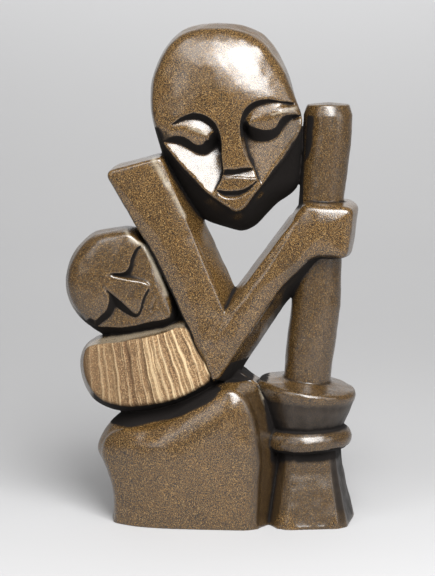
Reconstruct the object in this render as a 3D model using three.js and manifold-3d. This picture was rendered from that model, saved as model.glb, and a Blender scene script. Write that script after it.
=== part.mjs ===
import * as THREE from "three";
import { mergeVertices } from "three/addons/utils/BufferGeometryUtils.js";
import Module from "manifold-3d";

// A mother who pounds grain with her child tied to her back, carved from one block of stone.
// X runs to the viewer's right, Y to the back of the figure and Z up.
// The origin is on the floor, in the middle of the figure's box.

// Driving dimensions, in millimetres
const HEIGHT = 300;
const DEPTH = 68;
const LIMB_DEPTH = 48;
const LIMB_EDGE = 2.6;
const PESTLE_RADIUS = 14.4;
const GRIP = 13;
const RIM_RADIUS = 29.4;
const BOWL_FOOT_RADIUS = 21.6;
const RING_RADIUS = 27.2;
const FOOT_NECK_RADIUS = 19;
const FOOT_RADIUS = 26.4;
const STROKES = 13;
const STROKE_WIDTH = 2.6;
const STROKE_DEPTH = 1;
const FOLD_WIDTH = 2.4;
const FOLD_DEPTH = 1.8;
const RELIEF_ROOT = 8;
const HAND_EDGE = 4;
const WRAP_EDGE = 2.2;
const HIP_EDGE = 5;
const BOWL_TILT = 0.12;
const BOWL_NOD = 0.05;
const RING_TILT = 0.04;
const AROUND = 25;
const FOOT_SIDES = 5;
const FOOT_CORNERS = 1.14;
const FOOT_TURN = THREE.MathUtils.degToRad(43.2);

// The pose and the carving are drawn on a figure 300 units tall and 68 deep.
const UNIT = HEIGHT / 300;
const DEEP = DEPTH / 68;
const WELD = 1e-4;
const SLIVER = 0.04;
const { smoothstep, lerp } = THREE.MathUtils;
const wasm = await Module();
wasm.setup();

// A closed geometry as a solid whose faces point outwards.
function solid(geometry) {
  geometry.deleteAttribute("normal");
  geometry.deleteAttribute("uv");
  const merged = mergeVertices(geometry, WELD);
  const corners = merged.index.array;
  const kept = [];
  for (let i = 0; i < corners.length; i += 3) {
    const [a, b, c] = corners.slice(i, i + 3);
    if (a !== b && b !== c && c !== a) kept.push(a, b, c);
  }
  const vertProperties = merged.attributes.position.array;
  const build = (triVerts) =>
    new wasm.Manifold(new wasm.Mesh({ numProp: 3, vertProperties, triVerts: new Uint32Array(triVerts) }));
  const body = build(kept);
  return body.volume() > 0 ? body : build(kept.reverse());
}

// A closed body through rings of points: the rows of a sphere are moved onto them, and its poles close it.
function throughRings(rings) {
  const around = Math.max(...rings.map((ring) => ring.length));
  const ball = new THREE.SphereGeometry(1, around, rings.length - 1);
  const place = ball.attributes.position;
  rings.forEach((ring, row) => {
    for (let column = 0; column <= around; column++) {
      const { x, y, z } = ring[column % ring.length];
      place.setXYZ(row * (around + 1) + column, x, y, z);
    }
  });
  return solid(ball);
}

// A closed body between loops of the same count, each behind the last, with flat ends.
function throughLoops(loops) {
  const last = loops.length - 1;
  const shape = new THREE.Shape(loops[0].map((p) => new THREE.Vector2(p.x, p.z)));
  const block = new THREE.ExtrudeGeometry(shape, { depth: last, steps: last, bevelEnabled: false });
  const place = block.attributes.position;
  for (let i = 0; i < place.count; i++) {
    const at = loops[0].findIndex(
      (p) => Math.hypot(p.x - place.getX(i), p.z - place.getY(i)) < WELD,
    );
    const { x, y, z } = loops[Math.round(place.getZ(i))][at];
    place.setXYZ(i, x, y, z);
  }
  return solid(block);
}

// A body of revolution about an upright axis, from [radius, height] pairs that start and end on the axis.
function turned(profile, around, turn, move) {
  const lathe = new THREE.LatheGeometry(
    profile.map(([radius, height]) => new THREE.Vector2(radius, height)),
    around,
    turn,
  );
  lathe.rotateX(Math.PI / 2);
  const place = lathe.attributes.position;
  for (let i = 0; i < place.count; i++) {
    const { x, y, z } = move(new THREE.Vector3().fromBufferAttribute(place, i));
    place.setXYZ(i, x, y, z);
  }
  return solid(lathe);
}

// A smooth closed line through pairs [x, z], with so many steps from each pair to the next.
function smoothLoop(pairs, steps) {
  const count = pairs.length * steps;
  const points = pairs.map(([x, z]) => new THREE.Vector3(x * UNIT, 0, z * UNIT));
  return new THREE.CatmullRomCurve3(points, true, "centripetal").getPoints(count).slice(0, count);
}

// A closed line with straight sides and rounded corners through [x, z, cutback].
function corneredLoop(corners) {
  const at = corners.map(([x, z]) => new THREE.Vector3(x * UNIT, 0, z * UNIT));
  return at.flatMap((corner, i) => {
    const towards = (other) => corner.clone().lerp(other, (corners[i][2] * UNIT) / corner.distanceTo(other));
    const before = towards(at[(i + at.length - 1) % at.length]);
    const after = towards(at[(i + 1) % at.length]);
    return new THREE.QuadraticBezierCurve3(before, corner, after).getPoints(2);
  });
}

// A loop moved inwards along its own normals, by a distance that may differ from point to point.
function inset(loop, distance) {
  const turn = THREE.ShapeUtils.area(loop.map((p) => new THREE.Vector2(p.x, p.z))) > 0 ? 1 : -1;
  return loop.map((p, i) => {
    const ahead = loop[(i + 1) % loop.length];
    const behind = loop[(i + loop.length - 1) % loop.length];
    const along = ahead.clone().sub(behind).normalize();
    const by = turn * distance(p);
    return new THREE.Vector3(p.x - along.z * by, p.y, p.z + along.x * by);
  });
}

// One rounded form of the carving: a crowned face, a rounded edge and a wall that spreads to the girth,
// at the front and again, plainer and a little smaller, at the back. The depth of a face and the radius of
// an edge are functions of the point.
function carved({ rim, girth, heart, front, crown, back, backCrown, edge, power = 2, backInset = 0 }) {
  const middle = new THREE.Vector3(heart[0] * UNIT, 0, heart[1] * UNIT);
  const half = (rim, face, rise, side, shares, bends) => {
    const lip = inset(rim, edge);
    const pole = middle.clone().setY(face(middle) + side * rise);
    const rings = [[pole]];
    for (const share of shares) {
      rings.push(lip.map((p) => {
        const q = middle.clone().lerp(p, share);
        return q.setY(face(q) + side * rise * (1 - share ** power));
      }));
    }
    for (let bend = 1; bend <= bends; bend++) {
      const angle = (bend / bends) * (Math.PI / 2);
      const ring = inset(rim, (p) => edge(p) * (1 - Math.sin(angle)));
      ring.forEach((p, i) => p.setY(face(rim[i]) - side * edge(rim[i]) * (1 - Math.cos(angle))));
      rings.push(ring);
    }
    return rings;
  };
  const fore = half(rim, front, crown, -1, [0.45, 0.8, 1], 3);
  const rear = half(inset(rim, () => backInset), back, backCrown, 1, [0.6, 1], 2);
  return throughRings([...fore, girth, ...rear.reverse()]);
}

// Loops cut or raised on a face are drawn as [x, z at the edge, x, z at the foot].
const edgeOf = (quads) => quads.map(([x, z]) => [x, z]);
const footOf = (quads) => quads.map((quad) => [quad[2], quad[3]]);

// A plane y = level at [x, z], sloping by so much for each unit along X and Z.
const plane = (x, z, level, alongX, alongZ) => (p) =>
  (level + alongX * (p.x / UNIT - x) + alongZ * (p.z / UNIT - z)) * DEEP;

// A cutter with a shaped floor and drafted walls that start at the edge depth.
function sunk(quads, edgeDepth, floor) {
  const edge = smoothLoop(edgeOf(quads), 2);
  const foot = smoothLoop(footOf(quads), 2);
  const heart = foot.reduce((sum, p) => sum.add(p), new THREE.Vector3()).divideScalar(foot.length);
  const onFloor = (share) => foot.map((p) => heart.clone().lerp(p, share)).map((p) => p.setY(floor(p)));
  const at = (loop, y) => loop.map((p) => p.clone().setY(y));
  return throughRings([
    [heart.clone().setY(-DEPTH)], at(edge, -DEPTH), at(edge, edgeDepth * DEEP),
    onFloor(1), onFloor(0.5), onFloor(0).slice(0, 1),
  ]);
}

// A raised form: its face on one plane, and its foot on the floor of the field around it.
function raised(quads, level, floor) {
  const face = smoothLoop(edgeOf(quads), 1).map((p) => p.setY(level(p)));
  const foot = smoothLoop(footOf(quads), 1).map((p) => p.setY(floor(p)));
  return throughLoops([face, foot, foot.map((p) => p.clone().setY(p.y + RELIEF_ROOT * DEEP))]);
}

// The mother's head: an egg that leans to her left, with an undercut jaw
function motherHead() {
  const rim = [
    [4, 298], [27.5, 291.8], [41.6, 275.5], [49.8, 258], [54.3, 243], [49, 227.5], [37, 211.2],
    [27, 199.5], [20.5, 191.5], [16, 190], [10, 193], [-6, 204.6], [-19, 218], [-29.5, 234],
    [-34, 255], [-31, 274.5], [-18.5, 292.6],
  ];
  const girth = [
    [4, 300], [28.4, 294.6], [42.4, 277], [49, 257], [52.8, 240], [53.2, 222], [51, 203],
    [38, 192], [25.5, 179.3], [18, 176.5], [9, 178], [-6, 184], [-24, 208], [-32.6, 231],
    [-37.1, 254], [-33.5, 274], [-19.5, 294.3],
  ];
  const front = (p) => {
    const [x, z] = [p.x / UNIT, p.z / UNIT];
    const cheeks = smoothstep(-z, -242, -226) * smoothstep(Math.abs(x - 14), 12, 24);
    const dome = 0.003 * Math.max(0, z - 258) ** 2;
    return (-27 + 0.04 * (z - 250) + dome + 2 * cheeks) * DEEP;
  };
  const body = carved({
    rim: smoothLoop(rim, 3),
    girth: smoothLoop(girth, 3),
    heart: [9, 250],
    front,
    crown: 6.8 * DEEP,
    power: 2.7,
    back: () => 23 * DEEP,
    backCrown: 9 * DEEP,
    backInset: 3.5,
    edge: (p) => (2.8 + 2.2 * smoothstep(p.z / UNIT, 242, 266)) * UNIT,
  });
  return motherFace(body);
}

// Her face: two sunken fields under the brows, heavy lids, a wedge of a nose and a small smile
function motherFace(head) {
  const leftField = [
    [-40, 235, -39, 232], [-30.2, 239.6, -28.8, 235.8], [-21, 245.2, -19.5, 240.8],
    [-15, 248.2, -14.5, 243.6], [-9.4, 249.8, -9.4, 244.6], [-4, 249.2, -4.4, 244], [1, 246.9, -0.4, 242],
    [5.2, 242.8, 3.2, 238.6], [7.6, 234.5, 5.8, 232.6], [8.5, 221.3, 7.7, 221.3], [9, 215, 8.3, 214.6],
    [7.8, 209.5, 7.2, 209], [5.6, 205, 5, 205], [2.6, 200.6, 2.4, 200.8], [-10, 197, -10, 197],
    [-25, 210, -25, 210], [-40, 222, -40, 222],
  ];
  const rightField = [
    [18.4, 240, 19.8, 238.5], [18.9, 245.6, 20.6, 243.6], [20.8, 251, 22.6, 248], [25.4, 256, 26.8, 251.6],
    [32.5, 259.2, 33, 254], [38.5, 259.7, 38.5, 254.6], [45, 258.2, 44.4, 253.6], [53, 255, 53, 251.6],
    [62, 252.5, 62, 249], [64, 238, 64, 238], [50, 212, 50, 212], [37, 198, 37, 198],
    [29.4, 207.4, 29.8, 208], [25.9, 216.4, 26.8, 215], [21.3, 226, 22.2, 226],
  ];
  const underNose = [
    [8.8, 215.2, 8.2, 211.6], [15, 215.8, 15, 212.8], [21, 216.8, 21, 214], [26.6, 216.6, 27, 215.2],
    [31, 210.4, 31, 212], [26, 208.8, 26, 210.6], [19, 209.2, 19, 211], [12, 209, 12, 210.8],
    [5, 204.8, 6.2, 207],
  ];
  const mouth = [
    [8, 213, 8, 212], [28, 213, 28, 212], [44, 214, 44, 214], [44, 188, 44, 188], [16, 178, 16, 178],
    [-10, 188, -10, 188], [-6, 200, -6, 200], [3.6, 205, 3.6, 205],
  ];
  const leftLid = [
    [0.3, 233.4, 5.2, 231.8], [-1.2, 235.4, 3.6, 237.4], [-5, 238.6, -0.2, 241.6], [-10, 240.4, -7, 245],
    [-15, 240.9, -14, 245.2], [-20, 240.6, -20, 243.7], [-26, 239.4, -26, 240.8], [-37, 237.5, -38, 237.5],
    [-37, 231, -38, 230], [-25, 233.6, -26, 231], [-20, 234.5, -20, 230.4], [-14.5, 233.8, -14.5, 228.4],
    [-11, 231.8, -11, 226.2], [-7.8, 230, -6.8, 224], [-4, 229.8, -2.5, 223.4], [-1.8, 231.2, 1.5, 226.4],
  ];
  const rightLid = [
    [23.8, 241.8, 20.3, 240.6], [24.8, 244, 21.4, 245.6], [28.5, 245.4, 25, 250.6], [33, 246.6, 31.5, 253.6],
    [38, 248.9, 38, 255], [43.5, 250.4, 44, 255], [50, 251.8, 51, 254.4], [60, 253, 61, 254],
    [60, 248.6, 61, 247.8], [49.5, 248, 50, 246.2], [45.5, 246.8, 46, 243.4], [42.4, 244, 43, 239.6],
    [40, 240.9, 40.3, 235], [36.5, 238.9, 36.8, 232.2], [31, 238.6, 31.5, 231.2], [26.6, 239.5, 25.5, 232.4],
    [24.2, 240.3, 21.3, 236.2],
  ];
  const chin = [
    [-2, 202.6, -2, 201.6], [4.2, 201, 4.2, 200.2], [9.5, 198.6, 9.5, 197.6], [14.8, 197.6, 14.8, 196.6],
    [20, 198.8, 20.3, 197.6], [24.7, 202.6, 25.2, 201.6], [29.5, 208, 30.2, 207.4], [44, 214, 44, 214],
    [44, 188, 44, 188], [16, 178, 16, 178], [-10, 188, -10, 188],
  ];
  const smile = [
    [4.2, 203.6, 5.6, 203], [10, 203, 10, 202.2], [16, 203, 15.6, 202.2], [21, 204.2, 20.4, 203.6],
    [25, 206.6, 24.6, 206], [29.2, 209, 28.4, 208.2], [24, 203.2, 23.8, 204.6], [19, 200, 18.6, 201.4],
    [14, 198.9, 14, 200.3], [9, 199.6, 9.4, 200.9],
  ];
  const leftCheek = plane(4.9, 226.1, -19, 0.208, 0.295);
  const leftFloor = (p) => {
    const valley = (-25.6 + 15 * smoothstep(-p.x / UNIT, 19, 37)) * DEEP;
    return lerp(leftCheek(p), valley, smoothstep(p.z / UNIT, 230, 238));
  };
  const rightCheek = plane(19.6, 232.1, -19.2, -0.24, 0.2);
  const rightFloor = (p) => {
    const valley = (-25.2 + 14 * smoothstep(p.x / UNIT, 40, 56)) * DEEP;
    const aboveLid = p.z / UNIT - 236 - 0.25 * (p.x / UNIT - 20);
    return lerp(rightCheek(p), valley, smoothstep(aboveLid, 0, 8));
  };
  const lid = (quads, face, floor) => raised(quads, face, floor).intersect(head);
  return head
    .subtract(sunk(leftField, -35, leftFloor))
    .subtract(sunk(rightField, -35, rightFloor))
    .subtract(sunk(underNose, -33, plane(17, 212.5, -24.6, 0.1, 0.34)))
    .subtract(sunk(mouth, -35, plane(16, 203, -30, 0, 0.03)))
    .subtract(sunk(chin, -35, plane(16, 200, -28.6, 0, 0.03)))
    .add(lid(leftLid, plane(-12, 240, -29.4, 0, -0.2), leftFloor))
    .add(lid(rightLid, plane(35, 247, -29.6, 0, -0.2), rightFloor))
    .subtract(sunk(smile, -31, plane(16, 201, -26.8, 0, 0)));
}

// The upper arm, a slab that leans from the shoulder to the elbow
function upperArm() {
  const rim = [
    [-62.2, 213, 6], [-28, 222.5, 3], [-12, 184, 2], [9.3, 131, 3], [3, 86, 4], [-25.8, 147, 3],
    [-32.8, 161.5, 6],
  ];
  const girth = [
    [-61.5, 214.5, 6], [-29, 222.5, 3], [-4.5, 182, 2], [16, 137, 3], [8, 84, 4], [-24.5, 147, 3],
    [-31.8, 161.5, 6],
  ];
  return limb(rim, girth, [-18, 160]);
}

// The forearm, which rises from the elbow to the hand on the pestle
function forearm() {
  const rim = [
    [9.3, 131.1, 3], [53.5, 190.5, 3], [64, 191, 4], [64, 166.5, 4], [42, 144.5, 3], [4, 87, 4], [-2, 110, 4],
  ];
  const girth = [
    [9, 135, 3], [48.5, 188.5, 3], [64, 190, 4], [70, 160, 4], [45, 134, 3], [12, 83, 4], [-2, 110, 4],
  ];
  return limb(rim, girth, [27, 142]);
}

// Half of the bent arm: a slab with nearly flat faces
function limb(rim, girth, heart) {
  return carved({
    rim: corneredLoop(rim),
    girth: corneredLoop(girth),
    heart,
    front: () => (-LIMB_DEPTH / 2) * DEEP,
    crown: 2,
    back: () => (LIMB_DEPTH / 2) * DEEP,
    backCrown: 1,
    edge: () => LIMB_EDGE,
  });
}

// The fist that grips the pestle
function hand() {
  const rim = [
    [52, 191, 4], [56, 194.8, 3], [85.5, 193.6, 6], [81.5, 162.5, 5], [63, 163.5, 4], [44, 152, 4],
    [38, 168, 4],
  ];
  const girth = [
    [51, 192, 4], [56, 195.6, 3], [88, 193.8, 6], [83.5, 161.5, 5], [63, 161, 4], [46, 147, 4], [38, 170, 4],
  ];
  const reach = PESTLE_RADIUS + GRIP;
  const onForearm = (0.6 - LIMB_DEPTH / 2) * DEEP;
  const onPestle = 1.5 - reach;
  return carved({
    rim: corneredLoop(rim),
    girth: corneredLoop(girth),
    heart: [68, 179],
    front: (p) => lerp(onForearm, onPestle, smoothstep(p.x / UNIT, 44, 66)),
    crown: 1.5,
    back: () => reach - 2.2,
    backCrown: 1,
    edge: () => HAND_EDGE,
  });
}

// The child's round head, turned to its mother's shoulder
function childHead() {
  const rim = [
    [-61, 176.5], [-49, 176.6], [-38.4, 169], [-30.6, 154.5], [-23.6, 135.5], [-23.6, 126], [-42, 121.3],
    [-60, 118.3], [-72, 120.5], [-82.5, 132], [-86, 148], [-80.5, 164], [-71, 173.5],
  ];
  const girth = [
    [-60, 177.5], [-46, 178], [-36.4, 168], [-28, 150], [-18.5, 126], [-22, 116], [-42, 112],
    [-60, 110], [-72.5, 116], [-85.5, 129.5], [-89, 147], [-83, 163.5], [-72, 174.5],
  ];
  const body = carved({
    rim: smoothLoop(rim, 2),
    girth: smoothLoop(girth, 2),
    heart: [-58, 148],
    front: () => -20.5 * DEEP,
    crown: 2.4 * DEEP,
    back: () => 14 * DEEP,
    backCrown: 8 * DEEP,
    edge: (p) => (3.4 + 3.6 * smoothstep(-p.x / UNIT, 50, 64)) * UNIT,
  });
  return childFace(body);
}

// The child's face: one sunken field under two brows, with the nose standing in it and two folds at the mouth
function childFace(head) {
  const field = [
    [-36, 173, -36, 171], [-43.6, 170.4, -42.6, 167], [-47.4, 163.6, -45.6, 160.5],
    [-48.4, 158.6, -46.6, 154.6], [-51.6, 155.2, -50, 150.4], [-61.5, 152.6, -59.5, 149.6],
    [-64.9, 146.6, -62, 144.5],
    [-62.4, 138.4, -56.6, 137], [-64.2, 133, -58.6, 127.6], [-71, 126, -68, 119.4], [-76, 118, -73, 112],
    [-50, 106, -50, 106], [-10, 112, -10, 112], [-12, 135, -12, 135], [-27, 165, -27, 165],
  ];
  const nose = [
    [-64, 151, -64, 152], [-50, 149, -49.6, 150], [-37.2, 145.6, -35.8, 146], [-40, 138, -38.6, 136.6],
    [-43.6, 130, -43.4, 126], [-53, 136.6, -56, 132], [-64.5, 147, -65, 141.5],
  ];
  const folds = [[-30.2, 141.5, -36.4, 127.2], [-28.2, 139.6, -31.9, 129.6]];
  const level = plane(-60, 134, -15.6, -0.2, 0.02);
  const bridge = raised(nose, plane(-50, 140, -22.4, 0, 0), level).intersect(head);
  const face = head.subtract(sunk(field, -26, level)).add(bridge);
  return folds.reduce((cut, line) => cut.subtract(stroke(line, level, FOLD_WIDTH, FOLD_DEPTH)), face);
}

// The cloth that ties the child on, left as rough stone with the strokes of the chisel
function wrap() {
  const rim = [
    [-73, 107.5], [-52, 111.5], [-30, 116.5], [-15.5, 120.5], [-9.5, 109], [-0.5, 89.5], [-6.6, 84.5],
    [-17.3, 78.7], [-35, 74], [-54, 72.7], [-68, 78], [-75, 90], [-76, 101],
  ];
  const girth = [
    [-74, 108.5], [-52, 116], [-30, 121], [-10, 125], [-2, 108], [8, 88], [-3, 77], [-17, 71],
    [-36, 66], [-57, 65.5], [-73, 73], [-80.3, 90], [-79.5, 101],
  ];
  const front = (p) => {
    const away = THREE.MathUtils.clamp((-8 - p.x / UNIT) / 68, 0, 1);
    return (-25 + 4.5 * away ** 2) * DEEP;
  };
  const body = carved({
    rim: smoothLoop(rim, 2),
    girth: smoothLoop(girth, 2),
    heart: [-38, 96],
    front,
    crown: 0.6,
    back: () => 24 * DEEP,
    backCrown: 3 * DEEP,
    edge: () => WRAP_EDGE,
  });
  let cloth = body;
  for (let k = 0; k < STROKES; k++) {
    const across = (k + 0.5 + 0.3 * Math.sin(2.4 * k)) / STROKES;
    const top = [-72 + 56 * across, 106.5 + 13.5 * across];
    const foot = [-71 + 69 * across, 79 - 26 * across + 33 * across ** 2];
    cloth = cloth.subtract(stroke([...top, ...foot], front, STROKE_WIDTH, STROKE_DEPTH));
  }
  return cloth;
}

// One cut of the chisel between two points of a surface: a V that runs out at both ends.
function stroke([x1, z1, x2, z2], surface, width, depth) {
  const from = new THREE.Vector3(x1 * UNIT, 0, z1 * UNIT);
  const to = new THREE.Vector3(x2 * UNIT, 0, z2 * UNIT);
  const side = to.clone().sub(from).normalize().cross(new THREE.Vector3(0, 1, 0)).multiplyScalar(width / 2);
  const at = (share, across, y) => {
    const p = from.clone().lerp(to, share);
    const base = surface(p);
    return p.addScaledVector(side, across).setY(base + y);
  };
  const rings = [[at(0, 0, -depth)]];
  for (const share of [0.12, 0.5, 0.88]) {
    rings.push([at(share, 2, -depth), at(share, -2, -depth), at(share, 0, depth)]);
  }
  rings.push([at(1, 0, -depth)]);
  return throughRings(rings);
}

// The hips and the lap, a heavy block that stands on the floor
function hips() {
  const rim = [
    [-50, 58.5], [-38, 60], [-24, 65], [-8, 74.5], [4, 82], [12, 85.2], [19.5, 82.6], [25.5, 74], [29.6, 60],
    [31.2, 42], [30.6, 24], [30, 6], [29.5, -14], [-20, -16], [-59, -14], [-58.6, 6], [-59.5, 20], [-63, 31],
    [-66.5, 42], [-62, 53],
  ];
  const girth = [
    [-54, 66], [-38, 72], [-24, 76], [-8, 84], [5, 87.6], [15, 88], [25, 86], [38, 76], [43, 60],
    [44, 42], [43, 24], [42, 6], [40, -14], [-20, -16], [-62.5, -14], [-60.2, 6], [-61, 20], [-64.5, 31],
    [-70.3, 42], [-64, 56.5],
  ];
  return carved({
    rim: smoothLoop(rim, 2),
    girth: smoothLoop(girth, 2),
    heart: [2, 42],
    front: (p) => (-27 + 13 * (Math.max(0, -12 - p.x / UNIT) / 54) ** 2) * DEEP,
    crown: 7 * DEEP,
    back: () => 27 * DEEP,
    backCrown: 7 * DEEP,
    edge: (p) => HIP_EDGE - 1.5 * smoothstep(p.x / UNIT, 0, 20),
  });
}

// The mortar: a bowl with a tilted rim, on a ring and a foot with five soft sides
function mortar() {
  const axisX = 57.3 * UNIT;
  const height = (share) => share * UNIT;
  const swell = RIM_RADIUS - BOWL_FOOT_RADIUS;
  const bowl = turned(
    [
      [0, height(50)], [BOWL_FOOT_RADIUS - 1, height(50)], [BOWL_FOOT_RADIUS, height(57.5)],
      [BOWL_FOOT_RADIUS + 0.4 * swell, height(65)], [RIM_RADIUS - 1.9, height(74)], [RIM_RADIUS, height(80)],
      [RIM_RADIUS - 0.5, height(82)], [RIM_RADIUS - 2.4, height(83.1)], [PESTLE_RADIUS + 4, height(84.4)],
      [PESTLE_RADIUS - 3, height(86.5)], [0, height(86.5)],
    ],
    AROUND,
    0,
    (p) => {
      const lean = smoothstep(p.z, height(60), height(80));
      const rise = height(1.2) + BOWL_NOD * p.y - BOWL_TILT * p.x;
      return new THREE.Vector3(p.x + axisX, p.y, p.z + lean * rise);
    },
  );
  const ring = turned(
    [
      [0, height(45)], [RING_RADIUS - 5, height(45)], [RING_RADIUS - 1.6, height(46.6)],
      [RING_RADIUS, height(50)], [RING_RADIUS - 0.4, height(53.6)], [RING_RADIUS - 2.4, height(56.6)],
      [BOWL_FOOT_RADIUS - 2, height(59)], [0, height(59)],
    ],
    AROUND,
    Math.PI / AROUND,
    (p) => new THREE.Vector3(p.x + axisX, p.y, p.z + RING_TILT * p.x),
  );
  const foot = turned(
    [
      [0, height(-8)], [FOOT_RADIUS + 3, height(-8)], [FOOT_RADIUS + 1, 0],
      [(FOOT_RADIUS + FOOT_NECK_RADIUS) / 2, height(22)], [FOOT_NECK_RADIUS, height(46.5)], [0, height(46.5)],
    ],
    AROUND,
    Math.PI / 2 - FOOT_TURN,
    (p) => {
      const side = (2 * Math.PI) / FOOT_SIDES;
      const fromMiddle = THREE.MathUtils.euclideanModulo(Math.atan2(p.y, p.x) + FOOT_TURN, side) - side / 2;
      const wide = Math.min(1 / Math.cos(fromMiddle), FOOT_CORNERS);
      return new THREE.Vector3(p.x * wide + axisX, p.y * wide, p.z);
    },
  );
  return bowl.add(ring).add(foot);
}

// The pestle: a long round club, a little bowed, thicker below the hand, with a rounded head
function pestle() {
  const shape = [
    [56.6, 78, 0.98], [58.1, 97, 0.98], [59.9, 112, 1.03], [62.3, 131, 1.03], [63.6, 160, 0.97],
    [65, 196, 0.93], [67, 219, 0.97], [68.4, 234, 1], [68.7, 245, 1], [68.9, 252, 0.86],
  ];
  const around = 20;
  const rings = shape.map(([x, z, share]) =>
    Array.from({ length: around }, (_, k) => {
      const angle = (2 * Math.PI * k) / around;
      const radius = PESTLE_RADIUS * share;
      return new THREE.Vector3(x * UNIT + radius * Math.cos(angle), radius * Math.sin(angle), z * UNIT);
    }),
  );
  const low = new THREE.Vector3(56.6 * UNIT, 0, 78 * UNIT);
  const top = new THREE.Vector3(68.9 * UNIT, 0, 253.6 * UNIT);
  return throughRings([[low], ...rings, [top]]);
}

// The stone between the forms, behind the grooves: neck, back and side of the lap
function core() {
  const pairs = [
    [-30, 212], [-14, 185], [2, 148], [8, 128], [11, 98], [22, 88.6], [48, 66], [44, 20], [40, -12],
    [-50, -12], [-52, 30], [-46, 62], [-58, 84], [-61, 113], [-50, 140], [-38, 166], [-40, 196],
  ];
  const loop = smoothLoop(pairs, 1);
  return carved({
    rim: loop,
    girth: loop,
    heart: [-14, 90],
    front: () => -8 * DEEP,
    crown: 1,
    back: () => 15 * DEEP,
    backCrown: 1,
    edge: () => 1,
  });
}

// Everything below the floor is cut away flat.
function floorCut() {
  const below = new THREE.BoxGeometry(2 * HEIGHT, 2 * HEIGHT, HEIGHT);
  below.translate(0, 0, -HEIGHT / 2);
  return solid(below);
}

const forms = [
  motherHead(), upperArm(), forearm(), hand(), childHead(), wrap(), hips(), mortar(), pestle(), core(),
];
const joined = forms.reduce((whole, form) => whole.add(form)).subtract(floorCut()).simplify(SLIVER);

// The cuts leave a few crumbs, smaller than a grain of sand, which aren't part of the stone.
const stone = joined.decompose().reduce((most, piece) => (piece.volume() > most.volume() ? piece : most));

const shell = stone.getMesh();
const geometry = new THREE.BufferGeometry();
geometry.setAttribute("position", new THREE.BufferAttribute(shell.vertProperties, shell.numProp));
geometry.setIndex(new THREE.BufferAttribute(shell.triVerts, 1));
geometry.computeVertexNormals();

const carving = new THREE.Mesh(
  geometry,
  new THREE.MeshStandardMaterial({ color: 0x6b5536, roughness: 0.38, metalness: 0 }),
);
carving.name = "mother_and_child";
geometry.computeBoundingBox();
carving.position.x = -(geometry.boundingBox.min.x + geometry.boundingBox.max.x) / 2;

const figure = new THREE.Group();
figure.add(carving);

export default figure;
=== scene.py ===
import math

import bmesh
import bpy
import numpy as np
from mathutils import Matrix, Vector
from mathutils.bvhtree import BVHTree


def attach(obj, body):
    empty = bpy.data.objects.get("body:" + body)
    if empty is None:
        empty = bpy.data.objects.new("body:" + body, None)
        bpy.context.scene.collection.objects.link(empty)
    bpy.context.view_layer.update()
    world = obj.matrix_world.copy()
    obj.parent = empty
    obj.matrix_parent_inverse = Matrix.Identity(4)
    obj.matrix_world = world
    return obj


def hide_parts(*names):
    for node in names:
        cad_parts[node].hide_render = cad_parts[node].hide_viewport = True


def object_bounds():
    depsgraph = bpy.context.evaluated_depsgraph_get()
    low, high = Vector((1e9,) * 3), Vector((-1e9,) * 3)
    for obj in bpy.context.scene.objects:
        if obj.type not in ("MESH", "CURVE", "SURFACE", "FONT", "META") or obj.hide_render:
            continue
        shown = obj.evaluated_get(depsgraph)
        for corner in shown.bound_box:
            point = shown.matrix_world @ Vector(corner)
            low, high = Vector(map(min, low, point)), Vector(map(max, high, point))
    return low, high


# A mother who pounds grain with her child tied to her back, carved from one block of stone.
# The forms are drawn in millimetres, X to the viewer's right, Y to the back and Z up.
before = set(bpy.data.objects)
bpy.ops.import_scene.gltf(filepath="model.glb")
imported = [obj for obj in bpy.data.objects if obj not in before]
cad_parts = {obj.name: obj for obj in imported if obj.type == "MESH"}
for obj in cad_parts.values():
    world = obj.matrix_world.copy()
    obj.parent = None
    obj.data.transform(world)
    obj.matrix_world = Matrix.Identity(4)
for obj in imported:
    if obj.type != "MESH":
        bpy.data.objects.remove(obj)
cad_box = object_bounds()

LIMB_DEPTH = 48.0
LIMB_EDGE = 2.6
PESTLE_RADIUS = 14.4
GRIP = 13.0
RIM_RADIUS = 29.4
BOWL_FOOT_RADIUS = 21.6
RING_RADIUS = 27.2
FOOT_NECK_RADIUS = 19.0
FOOT_RADIUS = 26.4
MORTAR_X = 57.3
RELIEF_ROOT = 8.0
FOOT_SIDES = 5
FOOT_CORNERS = 1.14
FOOT_TURN = 43.2
GRAIN = 0.55
MOST_TRIANGLES = 190_000
SEED = 11

# How many rings of points a form has over its face, round its edge and down its wall, and a cut on its floor
FACE_RINGS = 13
EDGE_RINGS = 8
WALL_RINGS = 7
FLOOR_RINGS = 10
RIDGE_SHARES = (0.02, 0.3, 0.6, 0.85, 1)
RIDGE_REACH = 3.0

# How many steps a smooth line takes from one drawn point to the next
OUTLINE_STEPS = 8
WRAP_STEPS = 10
FIELD_STEPS = 6
BEFORE_STONE = -70.0
FRONT = -8.0
CUT_SIZE = 600.0


# Lines

def smooth_loop(pairs, steps=OUTLINE_STEPS):
    """A closed smooth line through [x, z] pairs, with so many steps from each pair to the next."""
    p = np.array(pairs, float)
    before, after, beyond = np.roll(p, 1, 0), np.roll(p, -1, 0), np.roll(p, -2, 0)
    spans = ((before, p), (p, after), (after, beyond))
    gap = [np.linalg.norm(b - a, axis=1, keepdims=True) ** 0.5 for a, b in spans]
    leaving = ((p - before) / gap[0] - (after - before) / (gap[0] + gap[1]) + (after - p) / gap[1]) * gap[1]
    arriving = ((after - p) / gap[1] - (beyond - p) / (gap[1] + gap[2]) + (beyond - after) / gap[2]) * gap[1]
    line = []
    for t in np.arange(steps) / steps:
        line.append(
            p * (2 * t**3 - 3 * t**2 + 1)
            + after * (3 * t**2 - 2 * t**3)
            + leaving * (t**3 - 2 * t**2 + t)
            + arriving * (t**3 - t**2)
        )
    return np.stack(line, 1).reshape(-1, 2)


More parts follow.
